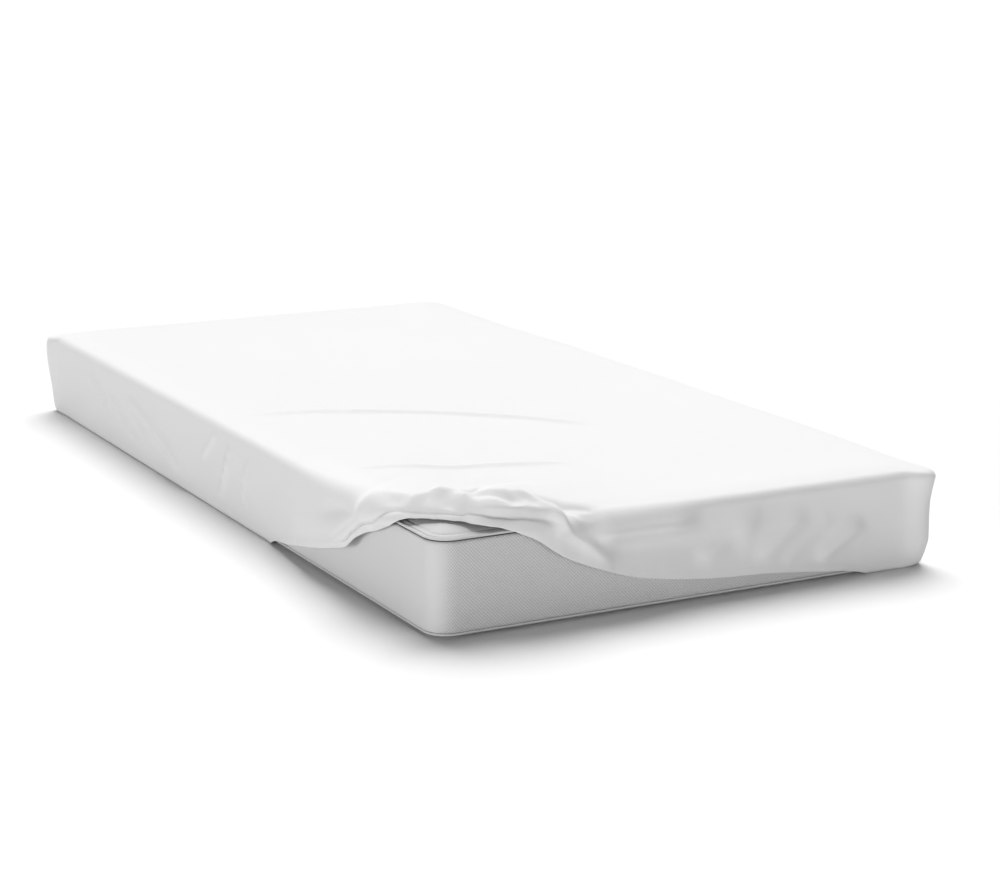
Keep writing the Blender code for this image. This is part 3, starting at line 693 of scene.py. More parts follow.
def sheet_surface(place, depth):
    """Return the points of the cloth's outer face and where they lie on the flat cloth."""
    edge, outward = rounded_outline(place, HALF_X, HALF_Y, SHEET_RADIUS)
    inset, height, tilt = cloth_section(depth)
    ear = ear_reach(place, depth)
    x = edge[:, None, 0] * (1 - inset / HALF_X) + outward[:, None, 0] * ear
    y = edge[:, None, 1] * (1 - inset / HALF_Y) + outward[:, None, 1] * ear
    z = height + np.where(tilt < math.pi / 2, crown(x, y), 0.0)
    points = np.stack((x, y, z), axis=-1)
    out = np.broadcast_to(outward[:, None, :], (*depth.shape, 2))
    normal = np.concatenate((out * np.sin(tilt)[..., None], np.cos(tilt)[..., None]), axis=-1)
    along = np.concatenate((out * np.cos(tilt)[..., None], -np.sin(tilt)[..., None]), axis=-1)
    pile, lift = sheet_lift(place, depth, points)
    shaped = points + normal * lift[..., None] + along * (PILE_LEAN * pile)[..., None]
    shaped[..., 2] = np.maximum(shaped[..., 2], 0.0)
    shrink = 1 + np.minimum(depth, 0)[..., None] / np.array((HALF_X, HALF_Y))
    flat = edge[:, None] * shrink + out * np.maximum(depth, 0)[..., None]
    return shaped, flat


def row_depths(place):
    """Return the depths of the cloth's rows at each place, the last ones over the hem."""
    depth = hem_values(place)[0][:, None]
    band = hem_band(place)[:, None]
    behind_band = depth - band - np.array(RISE_SHARES) * STEP_RISE
    rows = stretches(ROW_STRETCHES)
    left = np.arange(len(rows), 0, -1)
    rows = np.minimum(rows, behind_band[:, :1] - ROW_GAP * left)
    return np.hstack((rows, behind_band, depth - band * np.array(BAND_SHARES)))


def column_places():
    """Return the places of the cloth's columns, closest together at the seams and the folds."""
    places = [stretches(COLUMN_STRETCHES)]
    places += [corner + np.array(SEAM_COLUMNS) for corner in CORNER_PLACES[1:]]
    places = np.unique(np.round(np.concatenate(places), 5))
    return places[np.append(np.diff(places) > COLUMN_GAP, True)]


def inside_rim(points, rim, margin):
    """Return the plan points that lie inside the box round a rim, by no less than a margin."""
    low, high = rim.min(axis=0) + margin, rim.max(axis=0) - margin
    return points[((points > low) & (points < high)).all(axis=1)]


def crease_net():
    """Return closer plan points beside the fine creases on top."""
    share = np.linspace(0, 1, CREASE_STEPS)
    net = []
    for _, x0, y0, z0, x1, y1, z1, bow, half_width, _ in FINE_FOLDS:
        if min(z0, z1) > EDGE_HEIGHT:
            line = fold_line(np.array((x0, y0, z0)), np.array((x1, y1, z1)), bow, share)[:, :2]
            way = np.gradient(line, axis=0)
            way /= np.linalg.norm(way, axis=1)[:, None]
            side = np.column_stack((-way[:, 1], way[:, 0]))
            net += [line + side * half_width * offset for offset in CREASE_OFFSETS]
    return np.concatenate(net)


def inner_panel(rim_points):
    """Return the plan points and triangles inside the rows, and the rim point that each point is."""
    rim = np.array(rim_points)[:, :2]
    across = np.linspace(-HALF_X, HALF_X, round(2 * HALF_X / INNER_SPACING) + 1)
    along = np.linspace(-HALF_Y, HALF_Y, round(2 * HALF_Y / INNER_SPACING) + 1)
    half = 0.5 * INNER_SPACING
    net = np.array([(x + half * (k % 2), y) for x in across for k, y in enumerate(along)])
    crease = crease_net()
    gap = np.array([np.hypot(*(crease - point).T).min() for point in net])
    net = np.concatenate((net[gap > CREASE_GAP], crease))
    plan = [tuple(point) for point in np.concatenate((rim, inside_rim(net, rim, RIM_GAP)))]
    count = len(rim)
    border = [(k, (k + 1) % count) for k in range(count)]
    made = delaunay_2d_cdt(plan, border, [], 1, 1e-7)
    return made[0], made[2], made[3]


def cloth_mesh(thickness_at):
    """Return the vertices, faces, flat places and thickness of the cloth's outer face."""
    places = column_places()
    depths = row_depths(places)
    grid, flat = sheet_surface(places, depths)
    columns, rows = depths.shape
    vertices = grid.reshape(-1, 3)
    flats = flat.reshape(-1, 2)
    behind = (depths[:, -1:] - depths).reshape(-1)
    faces = []
    for column in range(columns):
        beside = (column + 1) % columns
        near, far = column * rows, beside * rows
        falling = np.linalg.norm(grid[column, :-1] - grid[beside, 1:], axis=1)
        rising = np.linalg.norm(grid[column, 1:] - grid[beside, :-1], axis=1)
        for row in range(rows - 1):
            a, b, c, d = near + row, near + row + 1, far + row + 1, far + row
            faces += [(a, b, c), (a, c, d)] if falling[row] < rising[row] else [(a, b, d), (b, c, d)]
    plan, triangles, source = inner_panel(grid[:, 0])
    added, index = [], []
    for k, point in enumerate(plan):
        if source[k] and source[k][0] < columns:
            index.append(source[k][0] * rows)
        else:
            index.append(len(vertices) + len(added))
            added.append((point[0], point[1], TOP_HEIGHT))
    added = np.array(added)
    added_flat = added[:, :2].copy()
    added[:, 2] += fold_height(added) + uneven_height(added)
    faces += [tuple(index[k] for k in triangle) for triangle in triangles]
    vertices = np.concatenate((vertices, added))
    flats = np.concatenate((flats, added_flat))
    behind = np.concatenate((behind, np.full(len(added), PILE_REACH)))
    return vertices, faces, flats, thickness_at(behind)


def closed_shell(vertices, faces, thickness):
    """Give a surface its thickness below it, and close it along its open edges."""
    outer = bmesh.new()
    corners = [outer.verts.new(point) for point in vertices]
    for face in faces:
        outer.faces.new([corners[k] for k in face])
    outer.verts.index_update()
    outer.normal_update()
    inner = [corner.co - corner.normal * depth for corner, depth in zip(corners, thickness)]
    shift = len(vertices)
    shell = list(faces) + [tuple(k + shift for k in reversed(face)) for face in faces]
    for edge in outer.edges:
        if edge.is_boundary:
            loop = edge.link_loops[0]
            first, second = loop.vert.index, loop.link_loop_next.vert.index
            shell.append((second, first, first + shift, second + shift))
    outer.free()
    return [tuple(point) for point in vertices] + [tuple(point) for point in inner], shell


def mesh_object(name, vertices, faces, flats=None, edges=()):
    """Make a smooth mesh object, with its flat places as a UV map where it has them."""
    mesh = bpy.data.meshes.new(name)
    mesh.from_pydata([tuple(map(float, point)) for point in vertices], list(edges), faces)
    mesh.validate()
    if faces:
        mesh.shade_smooth()
    if flats is not None:
        layer = mesh.uv_layers.new(name="flat cloth")
        corner = np.zeros(len(mesh.loops), np.int32)
        mesh.loops.foreach_get("vertex_index", corner)
        layer.data.foreach_set("uv", np.asarray(flats, np.float32)[corner].ravel())
    made = bpy.data.objects.new(name, mesh)
    bpy.context.scene.collection.objects.link(made)
    return made


def hem_line():
    """Return points on the cloth along the inner edge of the hem's casing."""
    first, last = HEM_SEWN
    place = np.linspace(first, last, round((last - first) / HEM_LINE_STEP) + 1)
    depth = (hem_values(place)[0] - hem_band(place))[:, None]
    points = sheet_surface(place, depth)[0][:, 0]
    points[:, 2] = np.maximum(points[:, 2], STITCH_CLEAR)
    return points


def seam_line(corner, offset):
    """Return points on the cloth down the seam of a fitted corner."""
    depth = np.linspace(SEAM_LINE_TOP, SIDE_END, SEAM_LINE_POINTS)[None, :]
    return sheet_surface(np.array([corner + offset]), depth)[0][0]


# The mattress's shape


def mattress_loop(places, inset, height):
    """Return a loop of points round the mattress at an inset and a height."""
    radius = max(CORNER_RADIUS - inset, LEAST_RADIUS)
    plan, _ = rounded_outline(places, WIDTH / 2 - inset, LENGTH / 2 - inset, radius)
    return np.column_stack((plan, np.full(len(places), height)))


def panel_pucker(places, inset):
    """Return how far the panel puckers beside its seam."""
    near = np.exp(-(((inset - PANEL_SEAM) / PUCKER_WIDTH) ** 2))
    waves = sum(np.sin(places * 2 * math.pi / length + 10 * length) for length in PANEL_PUCKERS)
    return PUCKER_HEIGHT * near * waves


def mattress_mesh():
    """Return the vertices, faces and flat places of the mattress, and the count of its columns."""
    places = stretches(MATTRESS_COLUMNS)
    section = BORDER_SECTION + PANEL_SECTION
    vertices, flats, faces = [], [], []
    run = 0.0
    before = section[0]
    for inset, height in section:
        run += math.hypot(inset - before[0], height - before[1])
        before = (inset, height)
        points = mattress_loop(places, inset, height)
        if height > PANEL_START:
            points[:, 2] += panel_pucker(places, inset)
            flats += [tuple(point[:2]) for point in points]
        else:
            flats += [(place, run) for place in places]
        vertices += [tuple(point) for point in points]
    count = len(places)
    for low in range(0, (len(section) - 1) * count, count):
        high = low + count
        for k in range(count):
            beside = (k + 1) % count
            faces.append((low + k, low + beside, high + beside, high + k))
    faces.append(tuple(reversed(range(count))))
    faces.append(tuple(range((len(section) - 1) * count, len(section) * count)))
    return vertices, faces, flats, count


# Nodes shared by the materials and the trees


def new_tree(name, kind, inputs, output):
    """Start a node group with named inputs and one output. Return it, its inputs and its output."""
    tree = bpy.data.node_groups.new(name, kind)
    for label, socket_kind, value in inputs:
        socket_type = "NodeSocket" + socket_kind
        socket = tree.interface.new_socket(label, in_out="INPUT", socket_type=socket_type)
        if value is not None:
            socket.default_value = value
    socket_type = "NodeSocketFloat" if output == "Height" else "NodeSocket" + output
    tree.interface.new_socket(output, in_out="OUTPUT", socket_type=socket_type)
    given = tree.nodes.new("NodeGroupInput").outputs
    return tree, given, tree.nodes.new("NodeGroupOutput").inputs[output]


def feed(tree, socket, value):
    """Link another node's output to a socket, or set the socket's own value."""
    if isinstance(value, bpy.types.NodeSocket):
        tree.links.new(value, socket)
    elif value is not None:
        socket.default_value = value


def add_node(tree, kind, source=None, settings=None, **values):
    """Add a node with its settings, its first input's source and the values of its named inputs."""
    node = tree.nodes.new(kind)
    for name, setting in (settings or {}).items():
        setattr(node, name, setting)
    if source is not None:
        tree.links.new(source, node.inputs[0])
    for name, value in values.items():
        feed(tree, node.inputs[name.replace("_", " ")], value)
    return node


def math_node(tree, operation, first, second=None, kind="ShaderNodeMath", output=0):
    """Add a math node, and return one of its outputs."""
    node = add_node(tree, kind, settings={"operation": operation})
    feed(tree, node.inputs[0], first)
    feed(tree, node.inputs[1], second)
    return node.outputs[output]


def vector_node(tree, operation, first, second=None, output="Vector"):
    """Add a vector math node, and return one of its outputs."""
    return math_node(tree, operation, first, second, "ShaderNodeVectorMath", output)


def scale_node(tree, vector, factor):
    """Add a node that scales a vector, and return its output."""
    scaling = {"operation": "SCALE"}
    return add_node(tree, "ShaderNodeVectorMath", vector, scaling, Scale=factor).outputs[0]


def mix_node(tree, factor, first, second):
    """Add a node that mixes two colours, and return its output."""
    colours = {"data_type": "RGBA"}
    node = add_node(tree, "ShaderNodeMix", None, colours, Factor=factor, A=first, B=second)
    return node.outputs["Result"]


# Materials


def fine_threads_group():
    """Build the group that gives the height of fine knitted or woven threads."""
    sockets = (("Vector", "Vector", None), ("Pitch", "Float", 0.001), ("Slub", "Float", 0.3))
    tree, given, end = new_tree("Fine Threads", "ShaderNodeTree", sockets, "Height")
    scaled = scale_node(tree, given["Vector"], math_node(tree, "DIVIDE", 2 * math.pi, given["Pitch"]))
    parts = add_node(tree, "ShaderNodeSeparateXYZ", scaled)
    half_turn = math_node(tree, "MULTIPLY", parts.outputs[0], 0.5)
    wales = math_node(tree, "ABSOLUTE", math_node(tree, "SINE", half_turn))
    bent = math_node(tree, "ADD", parts.outputs[1], math_node(tree, "SINE", parts.outputs[0]))
    courses = math_node(tree, "SINE", bent)
    slub = add_node(tree, "ShaderNodeTexNoise", given["Vector"], Scale=SLUB_SCALE, Detail=3.0)
    weave = math_node(tree, "ADD", wales, math_node(tree, "MULTIPLY", courses, COURSE_SHARE))
    uneven = math_node(tree, "MULTIPLY", slub.outputs[0], given["Slub"])
    tree.links.new(math_node(tree, "ADD", weave, uneven), end)
    return tree


def knit_dots_group():
    """Build the group that gives the pits of a knit with staggered dots."""
    sockets = (
        ("Vector", "Vector", None),
        ("Pitch", "Float", 0.005),
        ("Dot Size", "Float", 0.30),
        ("Softness", "Float", 0.12),
    )
    tree, given, end = new_tree("Knit Dots", "ShaderNodeTree", sockets, "Height")
    scaled = scale_node(tree, given["Vector"], math_node(tree, "DIVIDE", 1.0, given["Pitch"]))
    gaps = []
    for shift in ((0.0, 0.0, 0.0), (0.5, 0.5, 0.0)):
        moved = vector_node(tree, "ADD", scaled, shift)
        cell = vector_node(tree, "SUBTRACT", vector_node(tree, "FRACTION", moved), (0.5, 0.5, 0.0))
        flat = vector_node(tree, "MULTIPLY", cell, (1.0, 1.0, 0.0))
        gaps.append(vector_node(tree, "LENGTH", flat, output="Value"))
    ramp = add_node(
        tree,
        "ShaderNodeMapRange",
        math_node(tree, "MINIMUM", gaps[0], gaps[1]),
        {"interpolation_type": "SMOOTHSTEP"},
        From_Min=math_node(tree, "SUBTRACT", given["Dot Size"], given["Softness"]),
        From_Max=math_node(tree, "ADD", given["Dot Size"], given["Softness"]),
    )
    tree.links.new(ramp.outputs[0], end)
    return tree


def soft_tone_group():
    """Build the group that varies a colour softly over the surface."""
    sockets = (
        ("Vector", "Vector", None),
        ("Scale", "Float", 6.0),
        ("Light", "Color", (0.8, 0.8, 0.8, 1.0)),
        ("Dark", "Color", (0.7, 0.7, 0.7, 1.0)),
    )
    tree, given, end = new_tree("Soft Tone", "ShaderNodeTree", sockets, "Color")
    noise = add_node(tree, "ShaderNodeTexNoise", given["Vector"], Scale=given["Scale"], Detail=4.0)
    tree.links.new(mix_node(tree, noise.outputs[0], given["Dark"], given["Light"]), end)
    return tree


SHADER_GROUPS = {
    "Fine Threads": fine_threads_group,
    "Knit Dots": knit_dots_group,
    "Soft Tone": soft_tone_group,
}


def placed(tree, name, place, **values):
    """Place a node group in a material, at its place on the surface and with its own values."""
    made = bpy.data.node_groups.get(name) or SHADER_GROUPS[name]()
    node = add_node(tree, "ShaderNodeGroup", None, {"node_tree": made}, Vector=place, **values)
    return node.outputs[0]


def shade(colour, factor):
    """Return a colour made darker or lighter, with its alpha."""
    return tuple(min(value * factor, 1.0) for value in colour) + (1.0,)


def soft_tone(tree, place, colour, scale, tone_range, middle=1):
    """Return a colour that varies softly by a share of itself about a middle shade."""
    light, dark = shade(colour, middle + tone_range), shade(colour, middle - tone_range)
    return placed(tree, "Soft Tone", place, Scale=scale, Light=light, Dark=dark)


def new_material(name, colour, finish):
    """Make a cloth's material. Return it, its tree, its shader's inputs and the place in space."""
    roughness, sheen, tone_scale, tone_range = finish[:4]
    material = bpy.data.materials.new(name)
    material.use_nodes = True
    tree = material.node_tree
    shader = tree.nodes["Principled BSDF"].inputs
    shader["Roughness"].default_value = roughness
    shader["Specular IOR Level"].default_value = 0.25
    shader["Sheen Weight"].default_value = sheen
    shader["Sheen Roughness"].default_value = 0.6
    place = add_node(tree, "ShaderNodeTexCoord").outputs["Object"]
    tree.links.new(soft_tone(tree, place, colour, tone_scale, tone_range), shader["Base Color"])
    return material, tree, shader, place


def bump(tree, shader, height, distance, strength):
    """Let a height stand out on a material's surface, through its shader's inputs."""
    node = add_node(tree, "ShaderNodeBump", Distance=distance, Strength=strength, Height=height)
    tree.links.new(node.outputs[0], shader["Normal"])


def place_on(tree, name):
    """Return the place along the flat cloth or along the piping's tape."""
    if name == "flat cloth":
        return add_node(tree, "ShaderNodeUVMap", None, {"uv_map": name}).outputs[0]
    return add_node(tree, "ShaderNodeAttribute", None, {"attribute_name": name}).outputs["Vector"]


def thread_material(name, colour, pitch=None, along=None):
    """Make a cloth of fine threads, which run through space or along the place that is named."""
    finish = FINISHES[name]
    material, tree, shader, place = new_material(name, colour, finish)
    if along:
        place = place_on(tree, along)
    usual_pitch, slub, relief, relief_strength = finish[4:]
    threads = placed(tree, "Fine Threads", place, Pitch=pitch or usual_pitch, Slub=slub)
    bump(tree, shader, threads, relief, relief_strength)
    return material


def sheet_material(sizes):
    """Make the sheet's knitted cotton."""
    pitch = sizes.thread_pitch
    return thread_material("knitted sheet cotton", sizes.colour, pitch, along="flat cloth")


def sewing_material(sizes):
    """Make the white sewing thread of the seams."""
    return thread_material("sewing thread", shade(sizes.colour, THREAD_SHADE)[:3])


def painted_groove_shade_material(sizes):
    """Make the painted shade in the grooves behind the piping: a dark grey that stands in for their
    shadow.
    """
    return thread_material("painted groove shade", shade(sizes.piping_colour, PAINTED_GROOVE_SHADE)[:3])


def piping_material(sizes):
    """Make the woven tape of the piping."""
    return thread_material("piping tape", sizes.piping_colour, along="tape")


def knit_material(name, colour, sizes, knit):
    """Make a knit with staggered dots, which may begin between two places along the flat cloth.
    Its dots' pits are coloured darker as painted shade.
    """
    depth_share, painted_pit_shade, shown = knit
    finish = FINISHES["knit"]
    material, tree, shader, place = new_material(name, colour, finish)
    tone_scale, tone_range, pitch, slub, thread_share, relief_strength = finish[2:]
    flat = place_on(tree, "flat cloth")
    height = placed(tree, "Knit Dots", flat, Pitch=sizes.knit_pitch)
    tone = soft_tone(tree, place, colour, tone_scale, tone_range)
    if shown:
        first, last = shown
        along = add_node(tree, "ShaderNodeSeparateXYZ", flat).outputs[0]
        mask = add_node(tree, "ShaderNodeMapRange", along, From_Min=first, From_Max=last).outputs[0]
        pit = math_node(tree, "MULTIPLY", math_node(tree, "SUBTRACT", 1.0, height), mask)
        height = math_node(tree, "SUBTRACT", 1.0, pit)
        # The long side's smoother cloth is coloured darker: painted shade on that side
        plain = soft_tone(tree, place, colour, tone_scale, tone_range, LONG_SIDE_PAINTED_SHADE)
        tone = mix_node(tree, mask, plain, tone)
    threads = placed(tree, "Fine Threads", flat, Pitch=pitch, Slub=slub)
    relief = math_node(tree, "ADD", height, math_node(tree, "MULTIPLY", threads, thread_share))
    bump(tree, shader, relief, sizes.knit_depth * depth_share, relief_strength)
    # The pits are coloured darker than the knit: painted shade in its hollows
    knitted = mix_node(tree, height, shade(colour, painted_pit_shade), tone)
    tree.links.new(knitted, shader["Base Color"])
    return material


def border_material(sizes):
    """Make the knit of the mattress's border, with the smoother cloth of its long side painted darker
    as shade.
    """
    return knit_material("border knit", sizes.border_colour, sizes, BORDER_KNIT)


def panel_material(sizes):
    """Make the knit of the mattress's top panel."""
    return knit_material("panel knit", sizes.panel_colour, sizes, PANEL_KNIT)


def plain_material(name, colour, roughness):
    """Make the floor's plain finish."""
    material = bpy.data.materials.new(name)
    material.use_nodes = True
    shader = material.node_tree.nodes["Principled BSDF"]
    shader.inputs["Base Color"].default_value = (*colour, 1.0)
    shader.inputs["Roughness"].default_value = roughness
    shader.inputs["Specular IOR Level"].default_value = 0.0
    return material


# Trees of geometry nodes


def finish_tree(tree, shape, given, end):
    """Make a tree's shape real and give it its material."""
    real = add_node(tree, "GeometryNodeRealizeInstances", shape)
    paint = add_node(tree, "GeometryNodeSetMaterial", real.outputs[0], Material=given["Material"])
    tree.links.new(paint.outputs[0], end)


def measured(tree, curve):
    """Note how far along a curve each of its points lies. Return the curve and that length."""
    along = tree.nodes.new("GeometryNodeSplineParameter")
    noted = tree.nodes.new("GeometryNodeCaptureAttribute")
    noted.capture_items.new("FLOAT", "Length")
    tree.links.new(curve, noted.inputs[0])
    tree.links.new(along.outputs["Length"], noted.inputs[1])
    return noted.outputs[0], noted.outputs[1]


def stitches_tree():
    """Build the tree that sews stitches along lines."""
    sockets = (
        ("Geometry", "Geometry", None),
        ("Pitch", "Float", 0.0044),
        ("Stitch Length", "Float", 0.0031),
        ("Thread Radius", "Float", 0.0003),
        ("Seed", "Int", 7),
        ("Material", "Material", None),
    )
    tree, given, end = new_tree("Stitches", "GeometryNodeTree", sockets, "Geometry")
    curve = add_node(tree, "GeometryNodeMeshToCurve", given["Geometry"]).outputs[0]
    by_length = {"mode": "LENGTH"}
    dots = add_node(tree, "GeometryNodeCurveToPoints", curve, by_length, Length=given["Pitch"])
    along = dots.outputs["Tangent"]
    turn = add_node(tree, "FunctionNodeAlignRotationToVector", None, {"axis": "Z"}, Vector=along)
    stitch = add_node(tree, "GeometryNodeMeshUVSphere", Segments=6, Rings=4, Radius=1.0)
    half = math_node(tree, "MULTIPLY", given["Stitch Length"], 0.5)
    radius = given["Thread Radius"]
    size = add_node(tree, "ShaderNodeCombineXYZ", X=radius, Y=radius, Z=half)
    numbers = {"data_type": "FLOAT"}
    chance = add_node(tree, "FunctionNodeRandomValue", None, numbers, Seed=given["Seed"])
    chance.inputs[2].default_value, chance.inputs[3].default_value = STITCH_SHARES
    sewn = add_node(
        tree,
        "GeometryNodeInstanceOnPoints",
        dots.outputs["Points"],
        Instance=stitch.outputs["Mesh"],
        Rotation=turn.outputs[0],
        Scale=scale_node(tree, size.outputs[0], chance.outputs[1]),
    )
    finish_tree(tree, sewn.outputs[0], given, end)
    return tree


def piping_tree():
    """Build the tree that runs a slightly uneven cord of piping along a line."""
    sockets = (
        ("Geometry", "Geometry", None),
        ("Radius", "Float", 0.004),
        ("Step", "Float", 0.006),
        ("Sides", "Int", 14),
        ("Unevenness", "Float", 0.05),
        ("Material", "Material", None),
    )
    tree, given, end = new_tree("Piping", "GeometryNodeTree", sockets, "Geometry")
    curve = add_node(tree, "GeometryNodeMeshToCurve", given["Geometry"]).outputs[0]
    by_length = {"mode": "LENGTH"}
    even = add_node(tree, "GeometryNodeResampleCurve", curve, by_length, Length=given["Step"])
    path, run = measured(tree, even.outputs[0])
    radius = given["Radius"]
    ring = add_node(tree, "GeometryNodeCurvePrimitiveCircle", Resolution=given["Sides"], Radius=radius)
    section, turn = measured(tree, ring.outputs[0])
    tube = add_node(tree, "GeometryNodeCurveToMesh", path, Profile_Curve=section).outputs[0]
    tape = add_node(tree, "ShaderNodeCombineXYZ", run, Y=turn).outputs[0]
    vectors = {"data_type": "FLOAT_VECTOR"}
    stored = add_node(tree, "GeometryNodeStoreNamedAttribute", tube, vectors, Name="tape", Value=tape)
    noise = add_node(tree, "ShaderNodeTexNoise", Scale=PIPING_NOISE)
    lift = math_node(tree, "SUBTRACT", noise.outputs[0], 0.5)
    amount = math_node(tree, "MULTIPLY", radius, given["Unevenness"])
    normal = tree.nodes.new("GeometryNodeInputNormal")
    offset = scale_node(tree, normal.outputs[0], math_node(tree, "MULTIPLY", lift, amount))
    moved = add_node(tree, "GeometryNodeSetPosition", stored.outputs[0], Offset=offset)
    smooth = add_node(tree, "GeometryNodeSetShadeSmooth", moved.outputs[0])
    finish_tree(tree, smooth.outputs[0], given, end)
    return tree


def run_tree(piece, tree, **values):
    """Run a tree of geometry nodes on a piece, and keep the plain mesh that it makes."""
    modifier = piece.modifiers.new(tree.name, "NODES")
    modifier.node_group = tree
    for item in tree.interface.items_tree:
        value = values.get(item.name.replace(" ", "_"))
        if item.item_type == "SOCKET" and item.in_out == "INPUT" and value is not None:
            modifier[item.identifier] = value
    depsgraph = bpy.context.evaluated_depsgraph_get()
    made = bpy.data.meshes.new_from_object(piece.evaluated_get(depsgraph))
    made.name = piece.name
    piece.modifiers.clear()
    piece.data = made


def line_object(name, runs):
    """Make an object of lines. Each run is a line's points and whether the line closes."""
    vertices, edges = [], []
    for points, closed in runs:
        first = len(vertices)
        vertices += [tuple(point) for point in points]
        edges += [(first + k, first + k + 1) for k in range(len(points) - 1)]
        if closed:
            edges.append((len(vertices) - 1, first))
    return mesh_object(name, vertices, [], edges=edges)


# Operators


class BEDDING_OT_stage(Operator):
    """Set up the floor, the soft light and the camera"""

    bl_idname = "bedding.stage"
    bl_label = "Stage"

    def execute(self, context):
        sizes = context.scene.bedding_stage
        half = sizes.floor_size / 2
        corners = [(-half, -half, 0.0), (half, -half, 0.0), (half, half, 0.0), (-half, half, 0.0)]
        floor = mesh_object("floor", corners, [(0, 1, 2, 3)])
        floor.data.materials.append(plain_material("pale floor", sizes.floor_colour, 0.95))

        world = bpy.data.worlds.new("even light")
        world.use_nodes = True
        background = world.node_tree.nodes["Background"]
        background.inputs["Color"].default_value = (1.0, 1.0, 1.0, 1.0)
        background.inputs["Strength"].default_value = sizes.sky
        context.scene.world = world

        for name, strength, spread, way in (
            ("key light", sizes.key, sizes.key_spread, sizes.key_way),
            ("side fill", sizes.side_fill, sizes.fill_spread, sizes.side_way),
            ("front fill", sizes.front_fill, sizes.fill_spread, sizes.front_way),
        ):
            light = bpy.data.lights.new(name, "SUN")
            light.energy = strength
            light.angle = spread
            holder = bpy.data.objects.new(name, light)
            holder.rotation_euler = Vector(way).to_track_quat("Z", "Y").to_euler()
            context.scene.collection.objects.link(holder)

        look = CAMERA_LOOK.normalized()
        right = (CAMERA_RIGHT - look * CAMERA_RIGHT.dot(look)).normalized()
        camera = bpy.data.objects.new("camera", bpy.data.cameras.new("camera"))
        camera.data.lens = sizes.focal_length
        camera.data.sensor_width = 36.0
        camera.data.clip_end = 200.0
        turned = Matrix((right, right.cross(look), -look)).transposed().to_4x4()
        turned.translation = CAMERA_PLACE
        camera.matrix_world = turned
        context.scene.collection.objects.link(camera)
        context.scene.camera = camera
        context.scene.view_settings.view_transform = "Standard"
        return {"FINISHED"}


class BEDDING_OT_sheet(Operator):
    """Lay the fitted sheet over the mattress, with its hem and its folds"""

    bl_idname = "bedding.sheet"
    bl_label = "Fitted sheet"

    def execute(self, context):
        sizes = context.scene.bedding_sheet

        def thickness_at(behind):
            share = smoothstep((HEM_WIDTH - behind) / HEM_BLEND)
            return sizes.cloth + (sizes.hem - sizes.cloth) * share

        vertices, faces, flats, thickness = cloth_mesh(thickness_at)
        points, shell = closed_shell(vertices, faces, thickness)
        sheet = mesh_object("sheet_cloth", points, shell, np.concatenate((flats, flats)))
        sheet.data.materials.append(sheet_material(sizes))
        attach(sheet, "root")
        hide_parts("fitted_sheet")
        return {"FINISHED"}


class BEDDING_OT_sewing(Operator):
    """Sew the hem's casing and the seams of the corners"""

    bl_idname = "bedding.sewing"
    bl_label = "Sewing"

    def execute(self, context):
        sizes = context.scene.bedding_sheet
        lines = [(hem_line(), False)]
        for corner in CORNER_PLACES[1:]:
            lines += [(seam_line(corner, offset), False) for offset in SEAM_ROW_PLACES]
        sewing = line_object("sewing", lines)
        run_tree(
            sewing,
            stitches_tree(),
            Pitch=sizes.stitch_pitch,
            Stitch_Length=sizes.stitch_length,
            Thread_Radius=sizes.stitch_thread,
            Seed=7,
            Material=sewing_material(sizes),
        )
        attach(sewing, "root")
        return {"FINISHED"}


class BEDDING_OT_mattress(Operator):
    """Make the mattress in its knitted cover"""

    bl_idname = "bedding.mattress"
    bl_label = "Mattress"

    def execute(self, context):
        sizes = context.scene.bedding_mattress
        vertices, faces, flats, count = mattress_mesh()
        cover = mesh_object("mattress_cover", vertices, faces, flats)
        for make in (border_material, panel_material, painted_groove_shade_material):
            cover.data.materials.append(make(sizes))
        first_panel = (len(BORDER_SECTION) + 1) * count
        for face in cover.data.polygons:
            row = min(face.vertices) // count
            # Faces in the grooves behind the piping take the painted groove shade, a dark grey for
            # shadow
            seam = row in PAINTED_SHADE_ROWS and len(face.vertices) == 4
            face.material_index = 2 if seam else int(min(face.vertices) >= first_panel)
        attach(cover, "root")
        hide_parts("mattress")
        return {"FINISHED"}


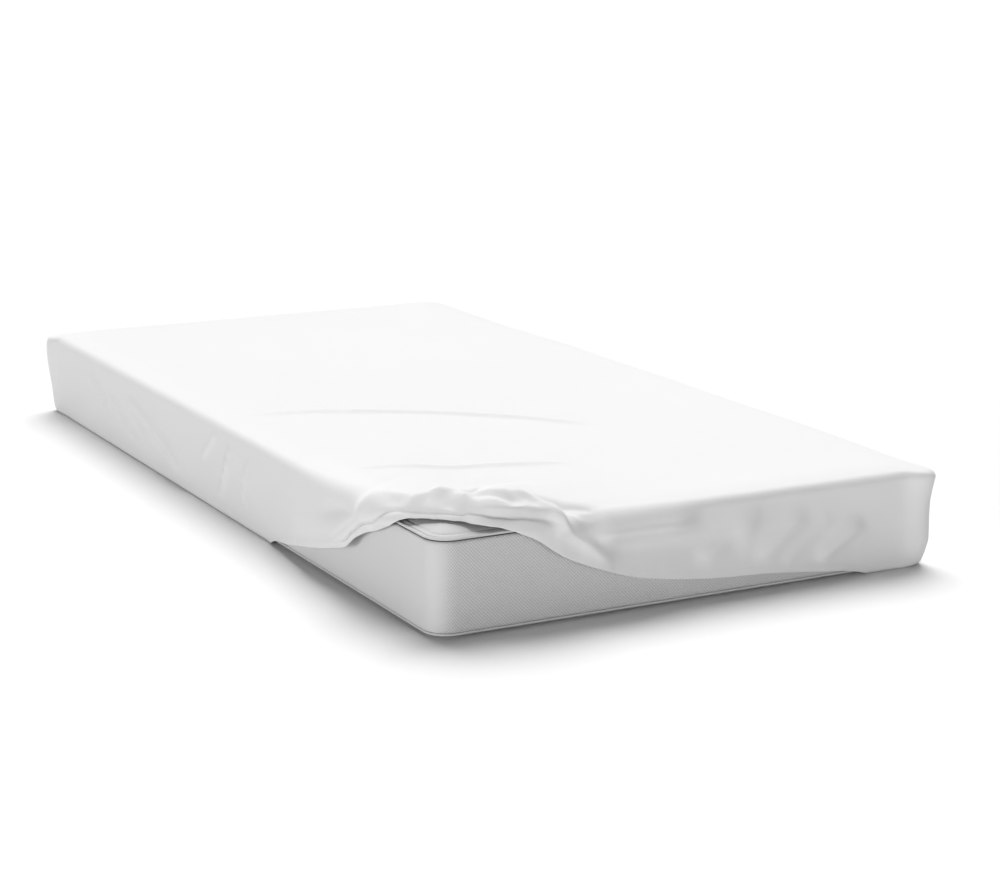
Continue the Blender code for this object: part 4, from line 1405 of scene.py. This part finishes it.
class BEDDING_OT_piping(Operator):
    """Run the piping round the mattress's top and bottom edges"""

    bl_idname = "bedding.piping"
    bl_label = "Piping"

    def execute(self, context):
        sizes = context.scene.bedding_mattress
        tree = piping_tree()
        material = piping_material(sizes)
        places = stretches(MATTRESS_COLUMNS)
        edges = (("piping_top", TOP_PIPING), ("piping_bottom", BOTTOM_PIPING))
        for node, (inset, height, radius) in edges:
            points = mattress_loop(places, inset, height)
            cord = line_object(node + "_cord", [(points, True)])
            run_tree(
                cord,
                tree,
                Radius=radius,
                Step=PIPING_STEP,
                Sides=sizes.piping_sides,
                Unevenness=PIPING_UNEVENNESS,
                Material=material,
            )
            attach(cord, "root")
            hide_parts(node)
        return {"FINISHED"}


class BEDDING_PT_panel(Panel):
    """List the pieces and their sizes"""

    bl_label = "Fitted sheet on a mattress"
    bl_idname = "BEDDING_PT_panel"
    bl_space_type = "VIEW_3D"
    bl_region_type = "UI"
    bl_category = "Bedding"

    def draw(self, context):
        layout = self.layout
        for title, sizes, operators in (
            ("Stage", context.scene.bedding_stage, ("bedding.stage",)),
            ("Mattress", context.scene.bedding_mattress, ("bedding.mattress", "bedding.piping")),
            ("Sheet", context.scene.bedding_sheet, ("bedding.sheet", "bedding.sewing")),
        ):
            box = layout.box()
            box.label(text=title)
            for name in type(sizes).__annotations__:
                box.prop(sizes, name)
            for operator in operators:
                box.operator(operator)


CLASSES = (
    SheetSizes,
    MattressSizes,
    StageSizes,
    BEDDING_OT_stage,
    BEDDING_OT_mattress,
    BEDDING_OT_piping,
    BEDDING_OT_sheet,
    BEDDING_OT_sewing,
    BEDDING_PT_panel,
)


def register():
    """Register the classes and the settings."""
    for made in CLASSES:
        bpy.utils.register_class(made)
    bpy.types.Scene.bedding_sheet = PointerProperty(type=SheetSizes)
    bpy.types.Scene.bedding_mattress = PointerProperty(type=MattressSizes)
    bpy.types.Scene.bedding_stage = PointerProperty(type=StageSizes)


def unregister():
    """Remove the settings and the classes."""
    del bpy.types.Scene.bedding_stage
    del bpy.types.Scene.bedding_mattress
    del bpy.types.Scene.bedding_sheet
    for made in reversed(CLASSES):
        bpy.utils.unregister_class(made)


def main():
    """Build every piece."""
    register()
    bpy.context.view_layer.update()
    bpy.ops.bedding.stage()
    bpy.ops.bedding.mattress()
    bpy.ops.bedding.piping()
    bpy.ops.bedding.sheet()
    bpy.ops.bedding.sewing()
    bpy.context.view_layer.update()


if __name__ == "__main__":
    main()
